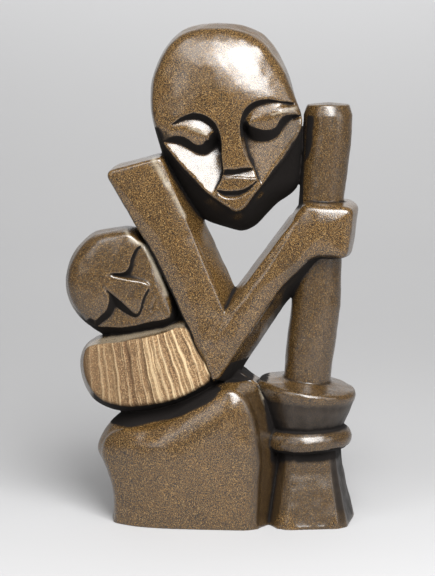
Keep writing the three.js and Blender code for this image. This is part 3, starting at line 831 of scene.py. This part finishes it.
def chisel_marks(points, rng):
    """How deep the chisel went into the wrap at each point, from 0 on the ridges to about 1 in the deepest
    cuts, the stroke that the point belongs to, and the point's place in the fan of strokes."""
    across, along = fan_place(points)
    across = across + 0.006 * np.sin(5 * along + 9 * across) + 0.003 * np.sin(17 * along + 31 * across)
    widths = rng.uniform(0.04, 0.1, STROKES)
    edges = FAN_START + np.concatenate([[0], np.cumsum(widths)])
    stroke = np.clip(np.searchsorted(edges, across) - 1, 0, len(widths) - 1)
    within = (across - edges[stroke]) / widths[stroke]
    depth = rng.uniform(0.3, 1, STROKES) * (0.4 + 0.6 * widths / widths.max())
    breaks = rng.uniform(-0.1, 1.1, STROKES)
    lesser = rng.uniform(0.35, 1, STROKES)
    scale = np.where(along > breaks[stroke], lesser[stroke], 1)
    slant = rng.uniform(0.3, 0.7, STROKES)[stroke]
    hollow = np.where(within < slant, within / slant, (1 - within) / (1 - slant))
    fine = rng.uniform(0.2, 1, THREADS)
    thread = np.clip(((across - FAN_START) / THREAD_WIDTH).astype(int), 0, THREADS - 1)
    deep = depth[stroke] * scale * np.sin(np.clip(hollow, 0, 1) * math.pi / 2)
    deep = deep + THREAD_DEPTH * fine[thread]
    return deep, stroke, across, along


def in_box(flat, left, right, low, high):
    """1 for the [x, z] points in an upright box, and 0 elsewhere."""
    x, z = flat.T
    return ((x > left) & (x < right) & (z > low) & (z < high)).astype(float)


# How much darker each part is coloured; on the lower bowl, the foot's sides and the hips' right flank it is
# painted shade.
CHILD_TONE = 0.45
PESTLE_TONE = 0.7
BOWL_TONE = 0.75
LOW_BOWL_SHADE_TONE = 1.6
RING_TONE = 0.8
FOOT_RIGHT_SHADE = 1.1
FOOT_LEFT_SHADE = 0.5
FLANK_SHADE = 1.3


def tone_of(skin, normal):
    """How much darker each form is coloured: 0 on the mother, more on the child, the pestle and the mortar,
    and painted shade on the lower bowl, the foot's sides and the hips' right flank.
    """
    x, y, z = skin.points.T
    tone = np.zeros(skin.count)
    from_mortar = np.hypot(x - MORTAR_X, y)
    tone[(z > 112) & (z < 180) & (x < -27 - (z - 150) * 0.42) & (y > -23.5)] = CHILD_TONE
    tone[(x > 44) & (z > 83) & ((z > 196.5) | (z < 161))] = PESTLE_TONE
    bowl = (x > 29) & (z > 57) & (z <= 86)
    tone[bowl & (from_mortar < RIM_RADIUS + 2)] = BOWL_TONE
    # Painted shade on the lower bowl.
    tone[bowl & (z < 76 - 0.05 * (x - MORTAR_X)) & (from_mortar < RIM_RADIUS)] = LOW_BOWL_SHADE_TONE
    tone[(z <= 57) & (from_mortar < RING_RADIUS + 1.5)] = RING_TONE
    foot = (z < 46) & (x > 37) & (from_mortar < FOOT_RADIUS * 1.2)
    # Painted shade on the foot's right and left sides.
    tone = tone + foot * smoothstep(0.3, 0.7, normal[:, 0]) * FOOT_RIGHT_SHADE
    tone = tone + foot * smoothstep(0.3, 0.7, -normal[:, 0]) * FOOT_LEFT_SHADE
    # Painted shade on the hips' right flank, which faces away.
    flank = (x > 10) & (x < 40) & (z < 82) & (from_mortar > BOWL_FOOT_RADIUS)
    return np.maximum(tone, FLANK_SHADE * flank * smoothstep(0.2, 0.75, normal[:, 0]))


# The boxes [left, right, low, high] that each place of painted shade lies in: under the jaw, behind the
# elbow, on the lower bowl and on the lap under the wrap
CHIN_BOX = [-40, 55, 172, 230]
ELBOW_BOX = [6, 34, 86.5, 99]
BOWL_BOX = [30, 90, 57, 76]
LAP_BOX = [-70, 12, 50, 84]
TOP_OF_HIPS = [(-58.7, 57.5), (-47.8, 58), (-17.7, 66), (0, 75), (8, 81)]
HANGING_SHADE = 0.75
FOOT_SIDE_SHADE = 0.55
LOW_BOWL_SHADE = 0.5


def wax_and_shade_on(skin, normal):
    """How black each point is painted: the cuts of both faces, which stay waxed black, with painted shade
    there and on what faces down, under the jaw, the ring, the wrap and the elbow, on the lower bowl and on
    the foot's right side.
    """
    flat = skin.points[:, [0, 2]]
    x, y, z = skin.points.T
    forward, down = -normal[:, 1], -normal[:, 2]
    steep = smoothstep(0.9, 0.72, forward)
    steeper = smoothstep(0.73, 0.5, forward)
    hanging = smoothstep(0.94, 0.84, forward) * smoothstep(0.1, 0.3, down)
    # Painted shade on what faces down.
    dark = HANGING_SHADE * smoothstep(0.15, 0.75, down) * steep

    # Under the jaw the stone is waxed black and in painted shade; beside the pestle the head's side gets
    # painted shade.
    chin = smoothstep(226, 208, z) * smoothstep(172, 176, z) * in_box(flat, *CHIN_BOX)
    jaw = chin * smoothstep(-0.1, 0.35, down) * steeper
    cheek = smoothstep(44, 50, x) * smoothstep(256, 246, z) * smoothstep(186, 196, z)
    jaw = np.maximum(jaw, cheek * (x < 54.5) * steeper) * (y < 6)
    from_mortar = np.hypot(x - MORTAR_X, y)
    # Painted shade under the ring, behind the elbow, on the foot's right side, on the lower bowl and on the
    # lap under the wrap.
    under_ring = smoothstep(36, 43, z) * (from_mortar < RING_RADIUS - 1) * (z < 50) * (x > 36)
    behind_elbow = in_box(flat, *ELBOW_BOX) * smoothstep(-24, -18, y)
    right_of_foot = FOOT_SIDE_SHADE * smoothstep(0.35, 0.7, normal[:, 0]) * (z < 46) * (x > 70)
    low_bowl = LOW_BOWL_SHADE * in_box(flat, *BOWL_BOX) * (from_mortar < RIM_RADIUS)
    above_hips = smoothstep(-0.5, 2.5, z - np.interp(x, *np.transpose(TOP_OF_HIPS)))
    under_wrap = above_hips * in_box(flat, *LAP_BOX) * smoothstep(11, 2, x)
    for shaded_part in (jaw, under_ring, behind_elbow, right_of_foot, low_bowl, under_wrap):
        dark = np.maximum(dark, shaded_part)

    # In the cuts of both faces, the steep walls are waxed black and in painted shade.
    for quads in (LEFT_FIELD, RIGHT_FIELD, UNDER_NOSE, SMILE, CHILD_FIELD):
        loop = smooth_loop(np.array(quads, float)[:, :2], 4)
        low, high = loop.min(0) - 1, loop.max(0) + 1
        near = np.flatnonzero((y < FRONT) & np.all((flat > low) & (flat < high), 1))
        within = smoothstep(-0.9, -0.2, depth_inside(flat[near], loop))
        turned_up = smoothstep(0.04, 0.24, -down[near])
        wall = np.maximum(steep[near] * (1 - turned_up), hanging[near])
        dark[near] = np.maximum(dark[near], within * wall)
    return dark


# Pale lines of worn edge and painted highlight: the child's and the upper arm's bevels, the wrap's top, the
# lap's edge by the bowl and both lids' ridges
RUBBED_AND_HIGHLIGHT = [
    [-38.2, 168, -34.2, 160, 1.7, 0.9], [-34.2, 160, -29.5, 150, 1.7, 0.9],
    [-29.5, 150, -25.7, 140, 1.6, 0.7], [-52, 179, -45, 172, 1, 0.6], [-45, 172, -38.2, 168, 1.4, 0.8],
    [-33, 221, -24, 205, 2, 0.7], [-24, 205, -14.5, 187, 1.4, 0.5],
    [-74, 108, -52, 113, 2.4, 0.45], [-52, 113, -30, 118.4, 2, 0.45], [-30, 118.4, -15, 122, 1.6, 0.35],
    [29, 83, 38.5, 59, 0.8, 0.6], [-11, 240, -1.5, 236, 1.1, 0.7], [37, 247.6, 51, 251.4, 0.9, 0.55],
]


def rubbed_and_highlight_on(skin):
    """How pale grey each point is painted along [x, z, x, z, half width, share] lines on the front: worn
    edges, and painted highlights on ridges and bevels.
    """
    flat = skin.points[:, [0, 2]]
    rubbed_and_highlight = np.zeros(skin.count)
    for x, z, x2, z2, half, share in RUBBED_AND_HIGHLIGHT:
        start, run = np.array([x, z]), np.array([x2 - x, z2 - z])
        along = np.clip((flat - start) @ run / (run @ run), 0, 1)
        away = np.linalg.norm(flat - start - along[:, None] * run, axis=1)
        rubbed_and_highlight = np.maximum(rubbed_and_highlight, share * smoothstep(half, 0.4 * half, away))
    return rubbed_and_highlight * (skin.points[:, 1] < FRONT)


# The wrap: its box, where the raw stone starts inside its outline, and how deep the chisel goes
WRAP_BOX = [-84, 8, 62, 126]
RAW_START = (-1.3, -0.4)
SCALLOP = 0.9
CHISEL_DEPTH = 1.9
BROAD_RIPPLE = (0.13, 16)
FINE_RIPPLE = (0.05, 6)
RIPPLE_WAVES = 24
WEAR_PASSES = 3
EDGE_PASSES = 6
HOLLOW_PASSES = 40
TONE_PASSES = 12


def finished_stone():
    """All the forms as one solid, worn at its edges, with the marks of the chisel on the wrap."""
    rng = np.random.default_rng(SEED)
    stone = mother_head()
    for form in (upper_arm(), forearm(), hand(), child_head(), wrap(), hips(), mortar(), pestle(), core()):
        combined(stone, form, "UNION")
    combined(stone, floor_cut(), "DIFFERENCE")
    remesh = stone.modifiers.new("even", "REMESH")
    remesh.mode = "VOXEL"
    remesh.voxel_size = GRAIN
    baked(stone)

    skin = Skin(stone.data)
    on_floor = skin.points[:, 2] < 0.8 * GRAIN
    worn = skin.softened(skin.points, WEAR_PASSES)
    worn[on_floor, 2] = skin.points[on_floor, 2]
    skin.points = worn
    skin.store()
    normal = skin.normals()
    flat = skin.points[:, [0, 2]]
    ripple = 0
    for height, length in (BROAD_RIPPLE, FINE_RIPPLE):
        ripple = ripple + height * waves(skin.points, length, RIPPLE_WAVES, rng)
    skin.points = skin.points + normal * (ripple * (skin.points[:, 2] > 2))[:, None]

    notes = {name: np.zeros(skin.count) for name in ("raw", "marks", "strokes", "across", "along")}
    near = np.flatnonzero(in_box(flat, *WRAP_BOX) * (skin.points[:, 1] < 0))
    inside = depth_inside(flat[near], smooth_loop(WRAP_RIM, FIELD_STEPS))
    faces_front = smoothstep(0.15, 0.4, -normal[near, 1])
    shallow = smoothstep(4.5, 2.5, skin.points[near, 1] - wrap_front(flat[near]))
    deep, stroke, across, along = chisel_marks(flat[near], rng)
    notes["raw"][near] = smoothstep(*RAW_START, inside - SCALLOP * deep) * faces_front * shallow
    notes["marks"][near] = deep
    notes["strokes"][near] = rng.uniform(0, 1, STROKES)[stroke]
    notes["across"][near], notes["along"][near] = across, along
    skin.points[:, 1] += notes["raw"] * notes["marks"] * CHISEL_DEPTH
    skin.store()

    skin.points = skin.softened(skin.points, 1, 0.3)
    skin.store()
    normal = skin.normals()
    rounded = skin.softened(skin.points, EDGE_PASSES)
    rounder = skin.softened(rounded, HOLLOW_PASSES)
    # How far each point stands out of its smoothed surface: worn pale edges with painted highlight.
    notes["edge_wear_and_highlight"] = np.sum((skin.points - rounded) * normal, 1)
    # How deep each point lies in its hollow, for the waxed-black hollows and their painted shade.
    notes["hollow"] = np.sum((rounder - skin.points) * normal, 1)
    # Pale worn lines with painted highlight.
    notes["rubbed_and_highlight"] = rubbed_and_highlight_on(skin)
    # Black where the cuts are waxed dark, and painted shade under the forms.
    notes["wax_and_shade"] = wax_and_shade_on(skin, normal) * (1 - notes["raw"])
    # Darker forms, with painted shade on the lower bowl, the foot's sides and the hips' flank.
    notes["tone"] = skin.softened(tone_of(skin, normal), TONE_PASSES)
    for name, values in notes.items():
        skin.note(name, values)

    triangles = sum(len(p.vertices) - 2 for p in stone.data.polygons)
    thinner = stone.modifiers.new("thinner", "DECIMATE")
    thinner.ratio = min(1.0, MOST_TRIANGLES / triangles)
    baked(stone)

    fitted(stone.data)
    return stone


def fitted(mesh):
    """Brings the carving to metres, in the box of the solid that it stands for."""
    skin = Skin(mesh)
    low, high = skin.points.min(0), skin.points.max(0)
    goal_low, goal_high = np.array(cad_box[0]), np.array(cad_box[1])
    skin.points = goal_low + (skin.points - low) * (goal_high - goal_low) / (high - low)
    skin.store()


# How shut in each point is, which darkens it as painted shade.
SHELTER_RAYS = 14
SHELTER_REACH = 0.024
CLEAR_OF_SKIN = 0.0002


def shelter(mesh):
    """How shut in each point is, from 0 in the open to 1, by rays sent out over its surface."""
    rng = np.random.default_rng(SEED + 1)
    skin = Skin(mesh)
    normal = skin.normals()
    mesh.calc_loop_triangles()
    corners = np.empty(len(mesh.loop_triangles) * 3, np.int64)
    mesh.loop_triangles.foreach_get("vertices", corners)
    tree = BVHTree.FromPolygons(skin.points.tolist(), corners.reshape(-1, 3).tolist())
    met = np.zeros(skin.count)
    starts = skin.points + normal * CLEAR_OF_SKIN
    for _ in range(SHELTER_RAYS):
        out = unit(unit(rng.normal(size=(skin.count, 3))) + normal)
        for i, (start, way) in enumerate(zip(starts.tolist(), out.tolist())):
            distance = tree.ray_cast(start, way, SHELTER_REACH)[3]
            if distance is not None:
                met[i] += 1 - distance / SHELTER_REACH
    skin.note("shelter", skin.softened(met / SHELTER_RAYS, 4))


# Materials

class Value:
    """A shader socket that is written into plain sums, such as 1 - mask * 0.5."""

    def __init__(self, finish, socket):
        self.finish, self.socket = finish, socket

    def worked(self, operation, first, second):
        return self.finish.node("ShaderNodeMath", {"operation": operation}, {0: first, 1: second})

    def __add__(self, other):
        return self.worked("ADD", self, other)

    __radd__ = __add__

    def __sub__(self, other):
        return self.worked("SUBTRACT", self, other)

    def __rsub__(self, other):
        return self.worked("SUBTRACT", other, self)

    def __mul__(self, other):
        return self.worked("MULTIPLY", self, other)

    __rmul__ = __mul__


class Finish:
    """A material under way: its nodes and what its shader is fed."""

    def __init__(self, name):
        self.material = bpy.data.materials.new(name)
        self.material.use_nodes = True
        self.tree = self.material.node_tree
        self.shader = self.tree.nodes["Principled BSDF"]
        self.place = self.node("ShaderNodeTexCoord", output="Object")

    def node(self, kind, settings=None, sockets=None, output=0):
        """Adds a node: its settings first, then the values or links of its sockets."""
        made = self.tree.nodes.new(kind)
        for name, value in (settings or {}).items():
            setattr(made, name, value)
        for key, value in (sockets or {}).items():
            self.feed(made.inputs[key], value)
        return Value(self, made.outputs[output])

    def feed(self, socket, value):
        """Links a socket to a value that varies, or sets it to one that doesn't."""
        if isinstance(value, Value):
            self.tree.links.new(value.socket, socket)
        else:
            socket.default_value = value

    def noise(self, scale, detail=2, roughness=0.5, place=None):
        """An even noise about 0.5, in the object's own place unless another is given."""
        sockets = {"Vector": place or self.place, "Scale": scale, "Detail": detail, "Roughness": roughness}
        return self.node("ShaderNodeTexNoise", {}, sockets)

    def step(self, value, low, high, start=0.0, end=1.0):
        """A smooth way from start to end while the value goes from low to high."""
        sockets = {"Value": value, "From Min": low, "From Max": high, "To Min": start, "To Max": end}
        return self.node("ShaderNodeMapRange", {"interpolation_type": "SMOOTHSTEP"}, sockets)

    def mixed(self, share, first, second):
        """Two colours mixed by a share."""
        sockets = {0: share, 6: first, 7: second}
        return self.node("ShaderNodeMix", {"data_type": "RGBA"}, sockets, output=2)

    def layered(self, colour, layers):
        """A colour with others laid over it, each by its share."""
        for share, other in layers:
            colour = self.mixed(share, colour, other)
        return colour

    def noted(self, name):
        """The number that the skin keeps under this name."""
        return self.node("ShaderNodeAttribute", {"attribute_name": name}, output="Fac")


def paint(red, green, blue):
    """A colour from its eight-bit values."""
    linear = []
    for c in (red, green, blue):
        linear.append(c / 255 / 12.92 if c <= 10.3 else ((c / 255 + 0.055) / 1.055) ** 2.4)
    return (*linear, 1.0)


WAXED = paint(78, 55, 26)
PALER_WAXED = paint(90, 64, 31)
BLOTCH = paint(62, 43, 21)
DARK_SPECK = paint(18, 11, 5)
PALE_FLECK = paint(152, 122, 76)
DEEPER_TONE = paint(30, 21, 12)
# The pale brown of worn edges and painted highlight.
WORN_EDGE_AND_HIGHLIGHT = paint(124, 101, 66)
# The pale grey of worn lines and painted highlight.
RUBBED_AND_HIGHLIGHT_GREY = paint(166, 156, 138)
# The black of the waxed hollows and of painted shade.
BLACK_WAX_AND_SHADE = paint(18, 14, 12)
# The raw stone in painted shade on the wrap's left and in painted light on its right.
RAW_SHADED_LEFT = paint(98, 69, 46)
RAW_LIT_RIGHT = paint(150, 118, 84)
RAW_SPECK = paint(58, 40, 26)
RAW_FLECK = paint(196, 170, 130)
RAW_CHIP = paint(66, 46, 30)
# Painted shade in the chisel's hollows, painted highlight on its ridges and streaks.
RAW_HOLLOW_SHADE = paint(62, 43, 28)
RAW_RIDGE_HIGHLIGHT = paint(222, 198, 158)
RAW_STREAK_HIGHLIGHT = paint(214, 190, 150)
RAW_STROKE = paint(180, 152, 112)
# The floor painted darker and the wall paler, to even out the light that falls on them.
PAPER_FLOOR = paint(180, 180, 181)
PAPER_WALL = paint(242, 243, 245)
POLISHED_IOR = 1.68
MATTE_IOR = 1.3


def stone_finish():
    """Polished brown speckled stone, waxed dark in its hollows with painted shade there and under its forms,
    with worn edges and painted highlights, and the raw pale stone of the wrap, with painted light and shade
    on its strokes.
    """
    f = Finish("carved_stone")
    names = ("shelter", "hollow", "edge_wear_and_highlight", "raw", "marks", "strokes", "wax_and_shade", "tone", "rubbed_and_highlight")
    shut_in, hollow, wear_and_highlight, raw, marks, strokes, wax_and_shade, tone, rubbed_and_highlight = [f.noted(name) for name in names]

    cloud = f.noise(45, 3)
    blotch = f.noise(150, 3, 0.6)
    speck = f.noise(1400, 4, 0.75)
    fleck = f.noise(1750, 4, 0.75)

    brown = f.mixed(f.step(cloud, 0.35, 0.65), WAXED, PALER_WAXED)
    brown = f.layered(brown, [
        (f.step(blotch, 0.4, 0.68, 0, 0.4), BLOTCH),
        (f.step(speck, 0.45, 0.56, 0, 1), DARK_SPECK),
        (f.step(fleck, 0.52, 0.62, 0, 0.9), PALE_FLECK),
        # Darker forms, with painted shade on the lower bowl, the foot's sides and the hips' flank.
        (tone * 0.5, DEEPER_TONE),
        # Convex edges paler: worn, and painted highlight.
        (f.step(wear_and_highlight, 0.05, 0.22, 0, 0.35), WORN_EDGE_AND_HIGHLIGHT),
        # Pale grey lines of worn edge and painted highlight.
        (rubbed_and_highlight * f.step(speck, 0.62, 0.5, 0.35, 1), RUBBED_AND_HIGHLIGHT_GREY),
    ])
    # Black and matte where the stone is waxed dark in its hollows, and painted shade where it is hollow, shut
    # in or painted dark.
    patina_and_shade = f.step(hollow + 0.9 * shut_in + 1.05 * wax_and_shade - 0.5 * rubbed_and_highlight, 0.26, 0.85)

    across, along = f.noted("across"), f.noted("along")
    far = f.step(across, -0.1, 1.0)
    grain_line = f.node("ShaderNodeCombineXYZ", {}, {0: across * 56, 1: along * 1.3})
    streak = f.noise(1.0, 2, 0.65, grain_line)
    # The wrap is painted darker to its left and paler to its right, as painted shade and light across its
    # bend.
    tan = f.mixed(far, RAW_SHADED_LEFT, RAW_LIT_RIGHT)
    tan = f.layered(tan, [
        (f.step(speck, 0.45, 0.56, 0, 0.85), RAW_SPECK),
        (f.step(fleck, 0.52, 0.64, 0, 0.7), RAW_FLECK),
        (f.step(f.noise(800, 2, 0.7), 0.47, 0.6, 0, 0.55), RAW_CHIP),
        # Painted shade in the chisel's hollows and painted highlight on the ridges between, stronger to the
        # lit right.
        (f.step(marks, 0.35, 1.0, 0, 0.8), RAW_HOLLOW_SHADE),
        (f.step(marks, 0.25, 0.08, 0, 0.7) * (0.25 + 0.75 * far), RAW_RIDGE_HIGHLIGHT),
        # Light streaks along the strokes paint highlights on their fine ridges and dark ones paint shade,
        # both stronger to the right.
        (f.step(streak, 0.54, 0.68, 0, 0.6) * (0.15 + 0.85 * far), RAW_STREAK_HIGHLIGHT),
        (f.step(streak, 0.43, 0.3, 0, 0.85) * (0.35 + 0.65 * far), RAW_SPECK),
        (strokes * 0.2, RAW_STROKE),
    ])

    grain = 0.6 * speck + 0.4 * fleck + raw * (2.5 * streak + 1.5 * f.noise(900, 3, 0.7))
    bump = f.node("ShaderNodeBump", {}, {"Strength": 0.4, "Distance": 0.00016, "Height": grain})
    polish = 0.15 + 0.1 * f.noise(420, 2) + 0.08 * tone + f.step(speck, 0.47, 0.56, 0, 0.05)
    glossy = {"Base Color": brown, "Roughness": polish, "Normal": bump, "IOR": POLISHED_IOR}
    for name, value in glossy.items():
        f.feed(f.shader.inputs[name], value)
    # The matte black covers the waxed hollows and the painted shade; the raw stone of the wrap is matte too.
    bare = f.mixed(raw, BLACK_WAX_AND_SHADE, tan)
    matte = {"Base Color": bare, "Roughness": 0.85, "Normal": bump, "IOR": MATTE_IOR}
    unpolished = f.node("ShaderNodeBsdfPrincipled", {}, matte)
    share = 1 - (1 - patina_and_shade) * (1 - raw)
    polished = Value(f, f.shader.outputs[0])
    surface = f.node("ShaderNodeMixShader", {}, {0: share, 1: polished, 2: unpolished})
    f.feed(f.tree.nodes["Material Output"].inputs["Surface"], surface)
    return f.material


def backdrop_finish():
    """Pale paper for the floor and the wall behind, painted darker on the floor, where more light falls, and
    paler up the wall, where less does.
    """
    f = Finish("pale_paper")
    height = f.node("ShaderNodeSeparateXYZ", {}, {0: f.place}, output="Z")
    f.feed(f.shader.inputs["Base Color"], f.mixed(f.step(height, 0.0, 0.9), PAPER_FLOOR, PAPER_WALL))
    f.feed(f.shader.inputs["Roughness"], 0.9)
    return f.material


# The piece

carving = finished_stone()
carving.name = "carved_mother_and_child"
carving.data.name = "carved_mother_and_child"
shelter(carving.data)
for polygon in carving.data.polygons:
    polygon.use_smooth = True
carving.data.materials.clear()
carving.data.materials.append(stone_finish())
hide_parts("mother_and_child")
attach(carving, "root")


# The studio, in metres

FLOOR_NEAR = -0.6
FLOOR_FAR = 1.3
BEND_RADIUS = 1.3
BEND_STEPS = 24
WALL_TOP = 2.8
SWEEP_WIDTH = 6.4
MIDDLE = Vector((0.0039, 0, 0.1414))
WALL_MIDDLE = Vector((0, 2.1, 0.25))
WALL_LIGHT_WAY = (0, -0.62, 0.78)
CAMERA_WAY = (4.5, 8)
CAMERA_DISTANCE = 1.3
SEEN_WIDTH = 0.26205
SENSOR_WIDTH = 36.0
ROOM_LIGHT = 0.22

# Each light on the figure: its name, azimuth and elevation in degrees, distance, width, height and watts
LIGHTS = [
    ("key", 19, 41, 1.15, 0.56, 0.86, 25),
    ("above", -16, 52, 1.15, 0.8, 0.5, 5.3),
    ("left", -33, 19, 1.3, 0.42, 0.6, 1.8),
    ("right", 58, 16, 1.3, 0.55, 0.55, 3),
]

def sweep():
    """A pale floor that curves up into a wall behind the figure."""
    bm = bmesh.new()
    profile = [(FLOOR_NEAR, 0.0), (FLOOR_FAR, 0.0)]
    for a in np.linspace(0, math.pi / 2, BEND_STEPS)[1:]:
        profile.append((FLOOR_FAR + BEND_RADIUS * math.sin(a), BEND_RADIUS * (1 - math.cos(a))))
    profile.append((FLOOR_FAR + BEND_RADIUS, WALL_TOP))
    line = [bm.verts.new((-SWEEP_WIDTH / 2, y, z)) for y, z in profile]
    edges = [bm.edges.new(pair) for pair in zip(line, line[1:])]
    swept = bmesh.ops.extrude_edge_only(bm, edges=edges)["geom"]
    moved = [g for g in swept if isinstance(g, bmesh.types.BMVert)]
    bmesh.ops.translate(bm, verts=moved, vec=(SWEEP_WIDTH, 0, 0))
    paper = built("sweep", bm)
    for polygon in paper.data.polygons:
        polygon.use_smooth = True
    paper.data.materials.append(backdrop_finish())


def soft_light(name, direction, distance, width, height, power, aim):
    """A broad studio light that looks from a direction at the place it is aimed at."""
    data = bpy.data.lights.new(name, "AREA")
    data.shape = "RECTANGLE"
    data.size, data.size_y = width, height
    data.energy = power
    lamp = placed(name, data)
    way = Vector(direction).normalized()
    lamp.location = aim + way * distance
    lamp.rotation_euler = way.to_track_quat("Z", "Y").to_euler()


def bearing(azimuth, elevation):
    """The direction to a light or the camera: azimuth from the front to the viewer's right, in degrees."""
    a, e = math.radians(azimuth), math.radians(elevation)
    return Vector((math.sin(a) * math.cos(e), -math.cos(a) * math.cos(e), math.sin(e)))


sweep()
for name, azimuth, elevation, distance, width, height, power in LIGHTS:
    soft_light(name, bearing(azimuth, elevation), distance, width, height, power, MIDDLE)
soft_light("wall", WALL_LIGHT_WAY, 1.5, 2.2, 0.6, 20, WALL_MIDDLE)

world = bpy.data.worlds.new("soft_room")
world.use_nodes = True
background = world.node_tree.nodes["Background"]
background.inputs["Color"].default_value = (1.0, 0.98, 0.95, 1.0)
background.inputs["Strength"].default_value = ROOM_LIGHT
bpy.context.scene.world = world
bpy.context.scene.view_settings.view_transform = "Standard"

camera_data = bpy.data.cameras.new("camera")
camera_data.sensor_fit = "HORIZONTAL"
camera_data.sensor_width = SENSOR_WIDTH
camera_data.lens = SENSOR_WIDTH * CAMERA_DISTANCE / SEEN_WIDTH
camera_data.clip_start, camera_data.clip_end = 0.05, 20
camera = placed("camera", camera_data)
back_way = bearing(*CAMERA_WAY)
camera.location = MIDDLE + back_way * CAMERA_DISTANCE
camera.rotation_euler = back_way.to_track_quat("Z", "Y").to_euler()
bpy.context.scene.camera = camera
